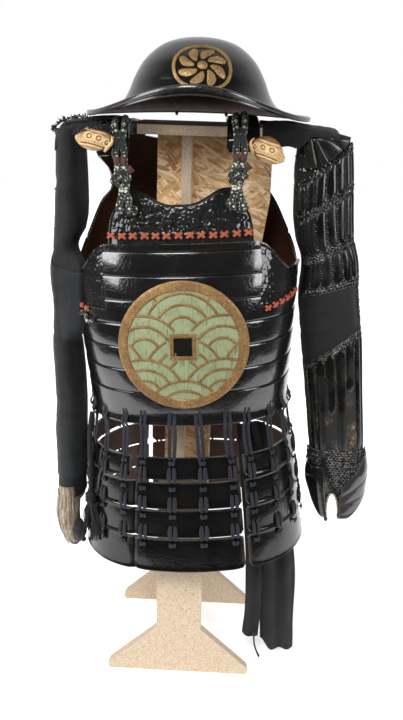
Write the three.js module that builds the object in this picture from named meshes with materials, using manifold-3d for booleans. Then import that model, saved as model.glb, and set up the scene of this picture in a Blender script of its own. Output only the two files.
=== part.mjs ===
// Samurai armour on a wooden stand, in millimetres, +Z up.
// +X is to the right of someone facing the armour's front, and the front faces -Y.
// The stand is upright. The cuirass and its skirt hang on it a little askew, in a group of their own.

import * as THREE from 'three';
import { mergeVertices } from 'three/addons/utils/BufferGeometryUtils.js';
import Module from 'manifold-3d';

// ---------------------------------------------------------------- driving sizes

const GAP = 0.3;                 // clearance between pieces that touch
const DEG = Math.PI / 180;

const stand = {
  centre: -1,                    // X of the posts and feet
  board: 16,                     // thickness of the particle board
  strand: 15,                    // thickness of the strand board
  footWidth: 250,
  footTip: 15,                   // height of the foot at its tips
  footRise: 91,                  // height where the foot meets the post
  postWidth: 80,
  postTop: 410,
  frontFace: -113.5,             // Y of the front panel's front face
  rearFace: 113.5,               // Y of the rear panel's front face
  ribCentre: -11,
  ribFront: -40,                 // Y of the rib's front edge above the posts
  ribBottom: 125,
  torsoFace: 5,                  // Y of the torso board's front face
  torsoBottom: 150,
  shelfLeft: -89,
  shelfRight: 108,
  shelfFront: -58,
  shelfBack: 40,
  shelfBottom: 952,
  shelfThickness: 15,
  feltThickness: 5,
};

const helmet = {
  x: 5,
  y: 0,
  wall: 3,
  widthScale: 1,
  depthScale: 1.03,
  frontLift: 29,                 // how far the brim arches up at the front
  rearLift: 6,
  crestPlace: 0.53,              // middle of the crest, as a share of the way from crown to rim
  crestTurn: 0.08,               // radians round from the front, towards +X
  crestRadius: 42,
  crestLift: 1.7,
  crestThickness: 0.8,
};

// Helmet profile, from the crown to the rim: radius and height at the sides.
const helmetProfile = [
  { r: 0, z: 1101.5 },
  { r: 32, z: 1098.5 },
  { r: 62, z: 1088 },
  { r: 88, z: 1066 },
  { r: 104, z: 1040 },
  { r: 114, z: 1016 },
  { r: 124, z: 1000 },
  { r: 142, z: 990 },
  { r: 164, z: 984.5 },
  { r: 182, z: 982 },
];

const cuirass = {
  lean: -3.3,                    // degrees about Y: the left side hangs low, the hem swings right
  pivot: 565,                    // height of the lean's axis
  wall: 1.2,                     // half of a plate's thickness
  step: 1.2,                     // how far a lame's top edge stands proud of the lame above
  squareness: 0.2,               // how boxy the plan of the body is
  bottom: 497,
  firstLine: 553,                // top of the lowest lame
  lamePitch: 37.5,
  plateTop: 789.7,               // top of the front lames, where the breast plate starts
  sideLine: 690,                 // laced line round the sides
  seamAngle: 41,                 // front plate's side seams, degrees from the front
  sideAngle: 92,
  backAngle: 93,
};

// Body of the cuirass: half width, and depth in front of and behind the side line.
const bodySections = [
  { z: 490, half: 169, front: 137, back: 124 },
  { z: 553, half: 174, front: 145, back: 131 },
  { z: 628, half: 181, front: 146, back: 137 },
  { z: 700, half: 187, front: 137, back: 140 },
  { z: 745, half: 190, front: 127, back: 139 },
  { z: 800, half: 187, front: 115, back: 133 },
  { z: 850, half: 178, front: 107, back: 121 },
  { z: 900, half: 165, front: 100, back: 107 },
  { z: 955, half: 152, front: 92, back: 96 },
];

// Breast plate above the lames: half width at each height.
const breastSections = [
  { z: 790, half: 114 },
  { z: 826, half: 110 },
  { z: 850, half: 99 },
  { z: 872, half: 86 },
];

// Back plate: half width at each height, and where its lames end and its top edge runs.
const backSections = [
  { z: 738, half: 190 },
  { z: 790, half: 172 },
  { z: 841, half: 149 },
  { z: 860, half: 133 },
  { z: 892, half: 133 },
  { z: 921, half: 147 },
  { z: 950, half: 139 },
];

const back = { bladeTop: 778, shoulder: 950, neck: 940 };

const breast = { bottom: 790, neck: 851, horn: 872, thickness: 3 };

const strap = { width: 46, thickness: 7, endWidth: 52 };

// Path of a shoulder strap's middle, from the back plate over the shoulder to the front.
const strapPath = [
  { x: 91, y: 109, z: 889 },
  { x: 92, y: 104, z: 925 },
  { x: 93, y: 98, z: 947 },
  { x: 94, y: 84, z: 965 },
  { x: 95, y: 44, z: 975 },
  { x: 98, y: -10, z: 976.5 },
  { x: 100, y: -50, z: 975.5 },
  { x: 101, y: -76, z: 966 },
  { x: 101, y: -90, z: 946 },
  { x: 101, y: -93, z: 926 },
];

const disc = { radius: 102.5, z: 632, x: 1, lift: 3.9, thickness: 2.2, rim: 14, rimLift: 1.2 };

const skirt = {
  panels: 6,
  gap: 1.3,                      // half of the gap between panels, degrees
  wall: 1.6,                     // half of a lame's thickness
  cords: 4,                      // cord pairs on a panel
  cordWidth: 13,
  cordThickness: 3,
  flare: 2,                      // how far a lame's lower edge stands out
};

const skirtSections = [
  { z: 240, half: 196, front: 166, back: 168 },
  { z: 340, half: 187, front: 155, back: 158 },
  { z: 440, half: 176, front: 144, back: 146 },
  { z: 497, half: 169, front: 138, back: 126 },
];

// Lames of a skirt panel, from the top: upper and lower edge.
const skirtLames = [
  { top: 440, bottom: 404 },
  { top: 396, bottom: 353 },
  { top: 348, bottom: 303 },
  { top: 298, bottom: 242 },
];

const cloth = { wall: 1.1, guard: 1.6, rib: 2.4 };

// Right sleeve, turned so that its plated side faces forward: centre, half width and half depth.
const rightSleeve = [
  { z: 955, x: 209, y: -8, half: 42, depth: 26 },
  { z: 900, x: 211, y: -8, half: 46, depth: 33 },
  { z: 795, x: 219, y: -10, half: 47, depth: 36 },
  { z: 755, x: 230.5, y: -11, half: 45.5, depth: 36 },
  { z: 700, x: 233, y: -12, half: 49, depth: 35 },
  { z: 620, x: 243, y: -14, half: 50, depth: 32 },
  { z: 520, x: 255, y: -18, half: 47, depth: 30 },
  { z: 440, x: 264, y: -20, half: 46, depth: 28 },
  { z: 402, x: 267, y: -20, half: 45, depth: 27 },
];

// Left sleeve, turned edge on: its plain side faces the cuirass.
const leftSleeve = [
  { z: 955, x: -205, y: -12, half: 22, depth: 42 },
  { z: 900, x: -203, y: -12, half: 23, depth: 50 },
  { z: 800, x: -205, y: -14, half: 24, depth: 54 },
  { z: 755, x: -219, y: -14, half: 11.5, depth: 55 },
  { z: 730, x: -222, y: -14, half: 11.5, depth: 55 },
  { z: 665, x: -218.5, y: -14, half: 11.5, depth: 53 },
  { z: 600, x: -214, y: -14, half: 21, depth: 51 },
  { z: 500, x: -208, y: -14, half: 24, depth: 49 },
  { z: 400, x: -208, y: -14, half: 24, depth: 46 },
  { z: 314, x: -209, y: -14, half: 24, depth: 43 },
];

// Plated sides of the sleeves: the arc they cover, in degrees from the front, the upright splints
// on it, and the heights of the mail bands between which the splints run.
const rightPlating = { from: -60, to: 112, splints: 5 };
const rightUpperBands = [702, 774, 839, 897, 952];
const rightForearmBands = [418, 606];
const rightPlainLevels = [402, 654, 955];
const leftPlating = { from: 128, to: 262, splints: 5 };
const leftBands = [330, 612, 948];
const leftPlainLevels = [314, 955];
const bandMargin = 10;           // from the middle of a mail band to the splints' ends
const longestStretch = 90;       // most height between two levels of a sleeve

const mask = { width: 58, height: 36, depth: 24 };
const leftMask = { x: -152, y: -101, z: 945, turn: 0 };
const rightMask = { x: 117, y: -103, z: 936, turn: 26 };

const shoulderCord = { radius: 4.6, pitch: 11 };
const toggle = { radius: 4.2, length: 24 };

const waistCord = { radius: 4.5, knot: 8.5, tassel: 6.5 };

// ---------------------------------------------------------------- numbers and curves

const wasm = await Module();
wasm.setup();

const clamp = (value, low, high) => Math.min(high, Math.max(low, value));

function smooth(edge0, edge1, value) {
  const t = clamp((value - edge0) / (edge1 - edge0), 0, 1);
  return t * t * (3 - 2 * t);
}

const spread = (count, from, to) =>
  Array.from({ length: count + 1 }, (_, i) => from + ((to - from) * i) / count);

// A column of a short table, followed smoothly along its z column.
function follow(rows, column, z) {
  const up = rows[0].z < rows[rows.length - 1].z ? rows : [...rows].reverse();
  const at = clamp(z, up[0].z, up[up.length - 1].z);
  let i = 0;
  while (i < up.length - 2 && at > up[i + 1].z) i += 1;
  const slope = (k) => {
    const low = up[Math.max(k - 1, 0)];
    const high = up[Math.min(k + 1, up.length - 1)];
    return (high[column] - low[column]) / (high.z - low.z);
  };
  const width = up[i + 1].z - up[i].z;
  const t = (at - up[i].z) / width;
  const rise = up[i + 1][column] - up[i][column];
  const ease = t * t * (3 - 2 * t);
  const startPull = (slope(i) * width) * t * (1 - t) * (1 - t);
  const endPull = (slope(i + 1) * width) * t * t * (1 - t);
  return up[i][column] + rise * ease + startPull - endPull;
}

// ---------------------------------------------------------------- closed solids

function signedVolume(points, faces) {
  let sum = 0;
  for (const [a, b, c] of faces) sum += points[a].dot(points[b].clone().cross(points[c]));
  return sum / 6;
}

function closedBody(points, faces) {
  const used = new Map();
  const kept = [];
  const place = (index) => {
    if (!used.has(index)) {
      used.set(index, kept.length);
      kept.push(points[index]);
    }
    return used.get(index);
  };
  const list = faces.map((face) => face.map(place));
  const outward = signedVolume(kept, list) > 0;
  const order = outward ? list : list.map(([a, b, c]) => [a, c, b]);
  const geometry = new THREE.BufferGeometry();
  geometry.setAttribute('position', new THREE.Float32BufferAttribute(kept.flatMap((p) => p.toArray()), 3));
  geometry.setIndex(order.flat());
  return geometry;
}

// A wall on a surface: at(u, v) is the surface, out and inn are how far the two faces lie along
// its normal, keep says which cells exist, and wrap closes the wall round into a tube.
function wall({ us, vs, at, out, inn, keep = () => true, wrap = false, facing = 1 }) {
  const columns = us.length;
  const rows = vs.length;
  const tiny = 1e-4;
  const normal = (u, v) => {
    const du = at(u + tiny, v).sub(at(u - tiny, v));
    const dv = at(u, v + tiny).sub(at(u, v - tiny));
    return du.cross(dv).normalize().multiplyScalar(facing);
  };
  const points = [];
  for (const offset of [out, inn]) {
    for (const u of us) {
      for (const v of vs) {
        points.push(at(u, v).addScaledVector(normal(u, v), offset(u, v)));
      }
    }
  }
  const inner = columns * rows;
  const index = (i, j) => (i % columns) * rows + j;
  const cells = wrap ? columns : columns - 1;
  const inside = (i, j) => {
    const column = wrap ? (i + columns) % columns : i;
    return column >= 0 && column < cells && j >= 0 && j < rows - 1 && keep(column, j);
  };
  const faces = [];
  const quad = (a, b, c, d) => faces.push([a, b, c], [a, c, d]);
  for (let i = 0; i < cells; i += 1) {
    for (let j = 0; j < rows - 1; j += 1) {
      if (!inside(i, j)) continue;
      const [a, b, c, d] = [index(i, j), index(i + 1, j), index(i + 1, j + 1), index(i, j + 1)];
      quad(a, b, c, d);
      quad(a + inner, d + inner, c + inner, b + inner);
      if (!inside(i, j - 1)) quad(b, a, a + inner, b + inner);
      if (!inside(i, j + 1)) quad(d, c, c + inner, d + inner);
      if (!inside(i - 1, j)) quad(a, d, d + inner, a + inner);
      if (!inside(i + 1, j)) quad(c, b, b + inner, c + inner);
    }
  }
  return closedBody(points, faces);
}

// A body through rings of the same number of points, closed by a fan at each end.
function loft(rings) {
  const size = rings[0].length;
  const points = rings.flat();
  const faces = [];
  for (let k = 0; k < rings.length - 1; k += 1) {
    for (let i = 0; i < size; i += 1) {
      const a = k * size + i;
      const b = k * size + ((i + 1) % size);
      faces.push([a, b, b + size], [a, b + size, a + size]);
    }
  }
  for (const [ring, flip] of [[0, true], [rings.length - 1, false]]) {
    const middle = new THREE.Vector3();
    for (const point of rings[ring]) middle.addScaledVector(point, 1 / size);
    points.push(middle);
    const centre = points.length - 1;
    for (let i = 0; i < size; i += 1) {
      const a = ring * size + i;
      const b = ring * size + ((i + 1) % size);
      faces.push(flip ? [centre, b, a] : [centre, a, b]);
    }
  }
  return closedBody(points, faces);
}

function bare(geometry) {
  const plain = geometry.index ? geometry.toNonIndexed() : geometry.clone();
  for (const name of Object.keys(plain.attributes)) {
    if (name !== 'position') plain.deleteAttribute(name);
  }
  return mergeVertices(plain, 1e-3);
}

function toManifold(geometry) {
  const plain = bare(geometry);
  return new wasm.Manifold(new wasm.Mesh({
    numProp: 3,
    vertProperties: new Float32Array(plain.attributes.position.array),
    triVerts: new Uint32Array(plain.index.array),
  }));
}

function fromManifold(solid) {
  const mesh = solid.getMesh();
  const geometry = new THREE.BufferGeometry();
  geometry.setAttribute('position', new THREE.BufferAttribute(mesh.vertProperties, 3));
  geometry.setIndex(new THREE.BufferAttribute(mesh.triVerts, 1));
  return geometry;
}

const join = (...pieces) =>
  fromManifold(pieces.map(toManifold).reduce((whole, piece) => whole.add(piece)));

function tube(path, radius, sides, steps) {
  const curve = new THREE.CatmullRomCurve3(path.map(([x, y, z]) => new THREE.Vector3(x, y, z)));
  const ring = new THREE.Shape();
  for (let i = 0; i < sides; i += 1) {
    const angle = (i / sides) * Math.PI * 2;
    const corner = [radius * Math.cos(angle), radius * Math.sin(angle)];
    if (i === 0) ring.moveTo(...corner);
    else ring.lineTo(...corner);
  }
  ring.closePath();
  return bare(new THREE.ExtrudeGeometry(ring, { steps, extrudePath: curve, bevelEnabled: false }));
}

function box(x0, x1, y0, y1, z0, z1) {
  const geometry = new THREE.BoxGeometry(x1 - x0, y1 - y0, z1 - z0);
  return geometry.translate((x0 + x1) / 2, (y0 + y1) / 2, (z0 + z1) / 2);
}

function ball(x, y, z, rx, ry, rz, sides) {
  const geometry = new THREE.SphereGeometry(1, sides, Math.max(4, Math.round(sides / 2)));
  return bare(geometry.scale(rx, rz, ry).rotateX(Math.PI / 2).translate(x, y, z));
}

// ---------------------------------------------------------------- materials and nodes

const finish = {
  lacquer: { color: 0x16130f, roughness: 0.22, metalness: 0.1 },
  leather: { color: 0x1b1815, roughness: 0.4, metalness: 0.05 },
  gilt: { color: 0xb2935a, roughness: 0.45, metalness: 0.5 },
  patina: { color: 0xa5b98a, roughness: 0.6, metalness: 0.1 },
  cloth: { color: 0x17181d, roughness: 0.95, metalness: 0 },
  cord: { color: 0x23253a, roughness: 0.95, metalness: 0 },
  braid: { color: 0x4c5a45, roughness: 0.9, metalness: 0 },
  iron: { color: 0x25221f, roughness: 0.5, metalness: 0.6 },
  gold: { color: 0xe0b878, roughness: 0.5, metalness: 0.1 },
  particle: { color: 0xcdb798, roughness: 0.85, metalness: 0 },
  strand: { color: 0xc9935a, roughness: 0.8, metalness: 0 },
  felt: { color: 0x2b211c, roughness: 1, metalness: 0 },
  silk: { color: 0x1d1816, roughness: 0.8, metalness: 0 },
};

const armour = new THREE.Group();
const body = new THREE.Group();

function add(name, geometry, look, parent = armour) {
  const mesh = new THREE.Mesh(geometry, new THREE.MeshStandardMaterial(finish[look]));
  mesh.name = name;
  parent.add(mesh);
  return mesh;
}

// ---------------------------------------------------------------- stand

function footPanel(face) {
  const half = stand.footWidth / 2;
  const post = stand.postWidth / 2;
  const outline = new THREE.Shape();
  outline.moveTo(-half, 0);
  outline.lineTo(half, 0);
  outline.lineTo(half + 3, stand.footTip * 0.5);
  outline.lineTo(half, stand.footTip);
  outline.lineTo(post, stand.footRise);
  outline.lineTo(post, stand.postTop);
  outline.lineTo(-post, stand.postTop);
  outline.lineTo(-post, stand.footRise);
  outline.lineTo(-half, stand.footTip);
  outline.lineTo(-half - 3, stand.footTip * 0.5);
  outline.closePath();
  const panel = new THREE.ExtrudeGeometry(outline, { depth: stand.board, bevelEnabled: false });
  return bare(panel.rotateX(Math.PI / 2).translate(stand.centre, face + stand.board, 0));
}

// The rib stands on edge between the two posts and carries on up, in front of the torso board.
function rib() {
  const front = stand.frontFace + stand.board + GAP;
  const back = stand.rearFace - GAP;
  const behind = stand.torsoFace - GAP;
  const top = stand.shelfBottom - GAP;
  const outline = new THREE.Shape();
  outline.moveTo(front, stand.ribBottom);
  outline.lineTo(back, stand.ribBottom);
  outline.lineTo(back, stand.torsoBottom - GAP);
  outline.lineTo(behind, stand.torsoBottom - GAP);
  outline.lineTo(behind, top);
  outline.lineTo(stand.ribFront, top);
  outline.lineTo(stand.ribFront, stand.postTop - 20);
  outline.lineTo(front, stand.postTop - 20);
  outline.closePath();
  const panel = new THREE.ExtrudeGeometry(outline, { depth: stand.board, bevelEnabled: false });
  const upright = panel.rotateY(Math.PI / 2).rotateX(Math.PI / 2);
  return bare(upright.translate(stand.ribCentre - stand.board / 2, 0, 0));
}

function torsoBoard() {
  const top = stand.shelfBottom - GAP;
  const post = stand.postWidth / 2;
  const outline = new THREE.Shape();
  outline.moveTo(stand.centre - post, stand.torsoBottom);
  outline.lineTo(stand.centre + post, stand.torsoBottom);
  outline.lineTo(stand.centre + post, 560);
  outline.lineTo(112, 735);
  outline.lineTo(128, 850);
  outline.lineTo(128, top);
  outline.lineTo(-62, top);
  outline.lineTo(-62, 800);
  outline.lineTo(stand.centre - post, 700);
  outline.closePath();
  const board = new THREE.ExtrudeGeometry(outline, { depth: stand.strand, bevelEnabled: false });
  return bare(board.rotateX(Math.PI / 2).translate(0, stand.torsoFace + stand.strand, 0));
}

function addStand() {
  const shelfTop = stand.shelfBottom + stand.shelfThickness;
  add('stand_front_panel', footPanel(stand.frontFace), 'particle');
  add('stand_rear_panel', footPanel(stand.rearFace), 'particle');
  add('stand_rib', rib(), 'particle');
  add('stand_torso_board', torsoBoard(), 'strand');
  const across = [stand.shelfLeft, stand.shelfRight];
  const deep = [stand.shelfFront, stand.shelfBack];
  add('stand_shelf', bare(box(...across, ...deep, stand.shelfBottom, shelfTop)), 'strand');
  const felt = box(...across, ...deep, shelfTop + GAP, shelfTop + GAP + stand.feltThickness);
  add('stand_shelf_felt', bare(felt), 'felt');
}

// ---------------------------------------------------------------- helmet

const profileCurve = new THREE.CatmullRomCurve3(
  helmetProfile.map(({ r, z }) => new THREE.Vector3(r, 0, z)), false, 'centripetal');

// Point of the helmet's outer face: u is the angle from the front, s runs from crown to rim.
function helmetPoint(u, s) {
  const { x: r, z } = profileCurve.getPointAt(clamp(s, 0, 1));
  const reach = smooth(60, 182, r);
  const ahead = Math.max(0, Math.cos(u)) ** 2;
  const behind = Math.max(0, -Math.cos(u)) ** 2;
  const lift = (helmet.frontLift * ahead + helmet.rearLift * behind) * reach;
  return new THREE.Vector3(
    helmet.x + r * helmet.widthScale * Math.sin(u),
    helmet.y - r * helmet.depthScale * Math.cos(u),
    z + lift,
  );
}

function helmetNormal(u, s) {
  const tiny = 1e-3;
  const du = helmetPoint(u + tiny, s).sub(helmetPoint(u - tiny, s));
  const ds = helmetPoint(u, s + tiny).sub(helmetPoint(u, s - tiny));
  return ds.cross(du).normalize();
}

// Outer and inner skins of the bowl, meeting at the rim, each closed at the crown.
function helmetBowl() {
  const around = 32;
  const steps = [0.12, 0.26, 0.4, 0.5, 0.6, 0.68, 0.77, 0.88, 0.995];
  const points = [];
  const faces = [];
  const skins = [0, -helmet.wall];
  for (const depth of skins) {
    for (const s of steps) {
      for (let i = 0; i < around; i += 1) {
        const u = (i / around) * Math.PI * 2;
        points.push(helmetPoint(u, s).addScaledVector(helmetNormal(u, s), depth));
      }
    }
  }
  const skin = steps.length * around;
  for (let k = 0; k < 2; k += 1) {
    for (let j = 0; j < steps.length - 1; j += 1) {
      for (let i = 0; i < around; i += 1) {
        const a = k * skin + j * around + i;
        const b = k * skin + j * around + ((i + 1) % around);
        const pair = [[a, b, b + around], [a, b + around, a + around]];
        faces.push(...(k === 0 ? pair : pair.map(([p, q, r]) => [p, r, q])));
      }
    }
    points.push(helmetPoint(0, 0).add(new THREE.Vector3(0, 0, skins[k])));
    const crown = points.length - 1;
    for (let i = 0; i < around; i += 1) {
      const a = k * skin + i;
      const b = k * skin + ((i + 1) % around);
      faces.push(k === 0 ? [crown, b, a] : [crown, a, b]);
    }
  }
  const rim = (steps.length - 1) * around;
  for (let i = 0; i < around; i += 1) {
    const a = rim + i;
    const b = rim + ((i + 1) % around);
    faces.push([a, b, b + skin], [a, b + skin, a + skin]);
  }
  return closedBody(points, faces);
}

// A thin gilt roundel that lies on the front of the bowl.
function helmetCrest() {
  const length = profileCurve.getLength();
  const rings = [0, 0.5, 1];
  const around = 20;
  const at = (radius, angle) => {
    const s = helmet.crestPlace - (radius * Math.cos(angle)) / length;
    const across = profileCurve.getPointAt(s).x;
    return [helmet.crestTurn + (radius * Math.sin(angle)) / across, s];
  };
  const points = [];
  const faces = [];
  const lifts = [helmet.crestLift + helmet.crestThickness, helmet.crestLift];
  for (const lift of lifts) {
    for (const ring of rings) {
      for (let i = 0; i < (ring === 0 ? 1 : around); i += 1) {
        const [u, s] = at(helmet.crestRadius * ring, (i / around) * Math.PI * 2);
        points.push(helmetPoint(u, s).addScaledVector(helmetNormal(u, s), lift));
      }
    }
  }
  const skin = 1 + (rings.length - 1) * around;
  const index = (k, ring, i) => k * skin + (ring === 0 ? 0 : 1 + (ring - 1) * around + (i % around));
  for (let k = 0; k < 2; k += 1) {
    for (let ring = 0; ring < rings.length - 1; ring += 1) {
      for (let i = 0; i < around; i += 1) {
        const corners = [index(k, ring, i), index(k, ring + 1, i), index(k, ring + 1, i + 1)];
        const other = [index(k, ring, i), index(k, ring + 1, i + 1), index(k, ring, i + 1)];
        const pair = ring === 0 ? [corners] : [corners, other];
        faces.push(...(k === 0 ? pair : pair.map(([a, b, c]) => [a, c, b])));
      }
    }
  }
  const last = rings.length - 1;
  for (let i = 0; i < around; i += 1) {
    const [a, b] = [index(0, last, i), index(0, last, i + 1)];
    faces.push([b, a, a + skin], [b, a + skin, b + skin]);
  }
  return closedBody(points, faces);
}

// ---------------------------------------------------------------- cuirass

// Point of a body of the given sections: phi is the angle from the front, in radians.
function bodyPoint(rows, phi, z) {
  const half = follow(rows, 'half', z);
  const depth = follow(rows, Math.cos(phi) >= 0 ? 'front' : 'back', z);
  const square = 1 + cuirass.squareness * Math.sin(phi) ** 2;
  return new THREE.Vector3(half * Math.sin(phi), -depth * Math.cos(phi) * square, z);
}

const lameLines = [cuirass.bottom, ...spread(6, cuirass.firstLine, cuirass.firstLine + 6 * cuirass.lamePitch)];

// Rows up a stack of lames: two close rows at each line make the step between lames.
function lameRows(top) {
  const rows = [cuirass.bottom];
  for (const line of lameLines.slice(1)) {
    if (line < top) rows.push(line - 0.7, line);
  }
  return [...rows, top];
}

// How far a lame's face stands proud at a height: least at its lower edge, most at its upper edge.
function lameRise(z) {
  let low = lameLines[0];
  for (const line of lameLines) if (z >= line - 1e-3) low = line;
  const high = lameLines.find((line) => line > low + 1) ?? cuirass.plateTop + 20;
  return cuirass.wall + cuirass.step * clamp((z - low) / (high - low), 0, 1);
}

function frontPlate() {
  const seam = cuirass.seamAngle * DEG;
  const side = cuirass.sideAngle * DEG;
  const us = [...spread(5, -side, -seam), ...spread(8, -seam, seam).slice(1), ...spread(5, seam, side).slice(1)];
  const vs = [...new Set([...lameRows(cuirass.plateTop), cuirass.sideLine])].sort((a, b) => a - b);
  return wall({
    us,
    vs,
    at: (u, v) => bodyPoint(bodySections, u, v),
    out: (u, v) => lameRise(v),
    inn: () => -cuirass.wall,
    keep: (i, j) => (us[i] > -seam - 1e-6 && us[i + 1] < seam + 1e-6) || vs[j + 1] <= cuirass.sideLine,
  });
}

// Pebbled side plate under the arm, its top edge cut to the armhole.
function sidePlate(side) {
  const start = (cuirass.seamAngle + 0.4) * DEG;
  const end = cuirass.sideAngle * DEG;
  const top = (u) => 742 + 46 * (1 - smooth(start - 0.02, start + 0.42, u));
  const bottom = cuirass.sideLine + GAP;
  return wall({
    us: spread(9, start, end),
    vs: spread(2, 0, 1),
    at: (u, v) => bodyPoint(bodySections, side * u, bottom + (top(u) - bottom) * v),
    out: () => cuirass.wall + 1,
    inn: () => -cuirass.wall,
    facing: side,
  });
}

function breastPlate() {
  const neck = (u) => breast.neck + (breast.horn - breast.neck) * smooth(0.5, 0.98, Math.abs(u));
  return wall({
    us: [-1, -0.9, -0.78, -0.64, -0.46, -0.24, 0, 0.24, 0.46, 0.64, 0.78, 0.9, 1],
    vs: spread(4, 0, 1),
    at: (u, v) => {
      const z = breast.bottom + (neck(u) - breast.bottom) * v;
      const x = u * follow(breastSections, 'half', z);
      return bodyPoint(bodySections, Math.asin(x / follow(bodySections, 'half', z)), z);
    },
    out: () => breast.thickness / 2 + 0.8,
    inn: () => -breast.thickness / 2,
  });
}

// Back plate: lames up to the shoulder blades, then a plain top cut in for the arms and the neck.
function backPlate() {
  const wide = (180 - cuirass.backAngle) * DEG;
  const reach = (z) => {
    const half = follow(backSections, 'half', z);
    return Math.min(wide, Math.asin(Math.min(1, half / follow(bodySections, 'half', z))));
  };
  const { shoulder, neck, bladeTop } = back;
  const edge = (u) => shoulder - (shoulder - neck) * (1 - smooth(0.12, 0.5, Math.abs(u)));
  return wall({
    us: spread(14, -1, 1),
    vs: [...lameRows(bladeTop), 820, 857, 892, 921, shoulder],
    at: (u, v) => {
      const share = smooth(892, shoulder, v);
      return bodyPoint(bodySections, Math.PI - u * reach(v), v + (edge(u) - shoulder) * share);
    },
    out: (u, v) => (v >= bladeTop ? cuirass.wall : lameRise(v)),
    inn: () => -cuirass.wall,
  });
}

// Shoulder strap: a stiff band that rises from the back plate and bends down at the front.
function shoulderStrap(side) {
  const curve = new THREE.CatmullRomCurve3(strapPath.map(({ x, y, z }) => new THREE.Vector3(x, y, z)));
  const rings = spread(12, 0, 1).map((t) => {
    const point = curve.getPointAt(t);
    const along = curve.getTangentAt(t);
    const up = new THREE.Vector3(0, along.z, -along.y).setLength(strap.thickness / 2);
    const half = (strap.width + (strap.endWidth - strap.width) * smooth(0.7, 1, t)) / 2;
    return [[-half, -1], [half, -1], [half, 1], [-half, 1]].map(([x, face]) =>
      new THREE.Vector3(side * point.x + x, point.y, point.z).addScaledVector(up, face));
  });
  return loft(rings);
}

// Gilt disc that lies on the front lames, with a raised rim.
function breastDisc() {
  const around = 24;
  const rings = [0, 0.45, 1 - (disc.rim + 1) / disc.radius, 1 - disc.rim / disc.radius, 1];
  const at = (radius, angle) => {
    const z = disc.z + radius * Math.cos(angle);
    const x = disc.x + radius * Math.sin(angle);
    return [Math.asin(x / follow(bodySections, 'half', z)), z];
  };
  const normal = (phi, z) => {
    const tiny = 1e-3;
    const dp = bodyPoint(bodySections, phi + tiny, z).sub(bodyPoint(bodySections, phi - tiny, z));
    const dz = bodyPoint(bodySections, phi, z + tiny).sub(bodyPoint(bodySections, phi, z - tiny));
    return dp.cross(dz).normalize();
  };
  const points = [];
  const faces = [];
  for (let k = 0; k < 2; k += 1) {
    rings.forEach((ring, number) => {
      const raised = number >= rings.length - 2 ? disc.rimLift : 0;
      const lift = k === 0 ? disc.lift + disc.thickness + raised : disc.lift;
      for (let i = 0; i < (ring === 0 ? 1 : around); i += 1) {
        const [phi, z] = at(disc.radius * ring, (i / around) * Math.PI * 2);
        points.push(bodyPoint(bodySections, phi, z).addScaledVector(normal(phi, z), lift));
      }
    });
  }
  const skin = 1 + (rings.length - 1) * around;
  const index = (k, ring, i) => k * skin + (ring === 0 ? 0 : 1 + (ring - 1) * around + (i % around));
  for (let k = 0; k < 2; k += 1) {
    for (let ring = 0; ring < rings.length - 1; ring += 1) {
      for (let i = 0; i < around; i += 1) {
        const first = [index(k, ring, i), index(k, ring + 1, i), index(k, ring + 1, i + 1)];
        const second = [index(k, ring, i), index(k, ring + 1, i + 1), index(k, ring, i + 1)];
        const pair = ring === 0 ? [first] : [first, second];
        faces.push(...(k === 0 ? pair : pair.map(([a, b, c]) => [a, c, b])));
      }
    }
  }
  for (let i = 0; i < around; i += 1) {
    const [a, b] = [index(0, rings.length - 1, i), index(0, rings.length - 1, i + 1)];
    faces.push([b, a, a + skin], [b, a + skin, b + skin]);
  }
  return closedBody(points, faces);
}

function addCuirass() {
  add('cuirass_breast_plate', breastPlate(), 'leather', body);
  add('cuirass_front_plate', frontPlate(), 'lacquer', body);
  add('cuirass_side_plate_left', sidePlate(-1), 'leather', body);
  add('cuirass_side_plate_right', sidePlate(1), 'leather', body);
  add('cuirass_back_plate', backPlate(), 'lacquer', body);
  add('cuirass_strap_left', shoulderStrap(-1), 'leather', body);
  add('cuirass_strap_right', shoulderStrap(1), 'leather', body);
  add('cuirass_disc', breastDisc(), 'patina', body);
}

// ---------------------------------------------------------------- skirt

// One lame of a panel, with the cords that rise from it to the piece above.
function skirtLame(middle, { top, bottom }, above) {
  const half = (180 / skirt.panels - skirt.gap) * DEG;
  const drop = (u) => 1.5 * (1 - smooth(0.75, 1, Math.abs(u)));
  const plate = wall({
    us: spread(5, -1, 1),
    vs: [0, 1],
    at: (u, v) => {
      const z = bottom + (top - bottom) * v - drop(u) * (1 - v);
      return bodyPoint(skirtSections, middle + u * half, z);
    },
    out: (u, v) => skirt.wall + skirt.flare * (1 - v),
    inn: (u, v) => -skirt.wall + skirt.flare * (1 - v),
  });
  const cords = spread(skirt.cords - 1, -0.84, 0.84).map((u) => {
    const phi = middle + u * half;
    const span = skirt.cordWidth / follow(skirtSections, 'half', top) / 2;
    return wall({
      us: [phi - span, phi + span],
      vs: [top - 7, above - GAP],
      at: (p, z) => bodyPoint(skirtSections, p, z),
      out: () => skirt.cordThickness / 2,
      inn: () => -skirt.cordThickness / 2,
    });
  });
  return join(plate, ...cords);
}

function addSkirt() {
  const names = ['front', 'front_right', 'back_right', 'back', 'back_left', 'front_left'];
  names.forEach((name, number) => {
    const middle = (number / skirt.panels) * Math.PI * 2;
    skirtLames.forEach((lame, row) => {
      const above = row === 0 ? cuirass.bottom - 1 : skirtLames[row - 1].bottom - 1.5;
      add(`skirt_${name}_lame_${row + 1}`, skirtLame(middle, lame, above), 'lacquer', body);
    });
  });
}

// ---------------------------------------------------------------- sleeves

// Point of a sleeve: phi is the angle from the front.
function sleevePoint(rows, phi, z) {
  const half = follow(rows, 'half', z);
  const depth = follow(rows, 'depth', z);
  return new THREE.Vector3(
    follow(rows, 'x', z) + half * Math.sin(phi),
    follow(rows, 'y', z) - depth * Math.cos(phi) * (1 + 0.15 * Math.sin(phi) ** 2),
    z,
  );
}

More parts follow.
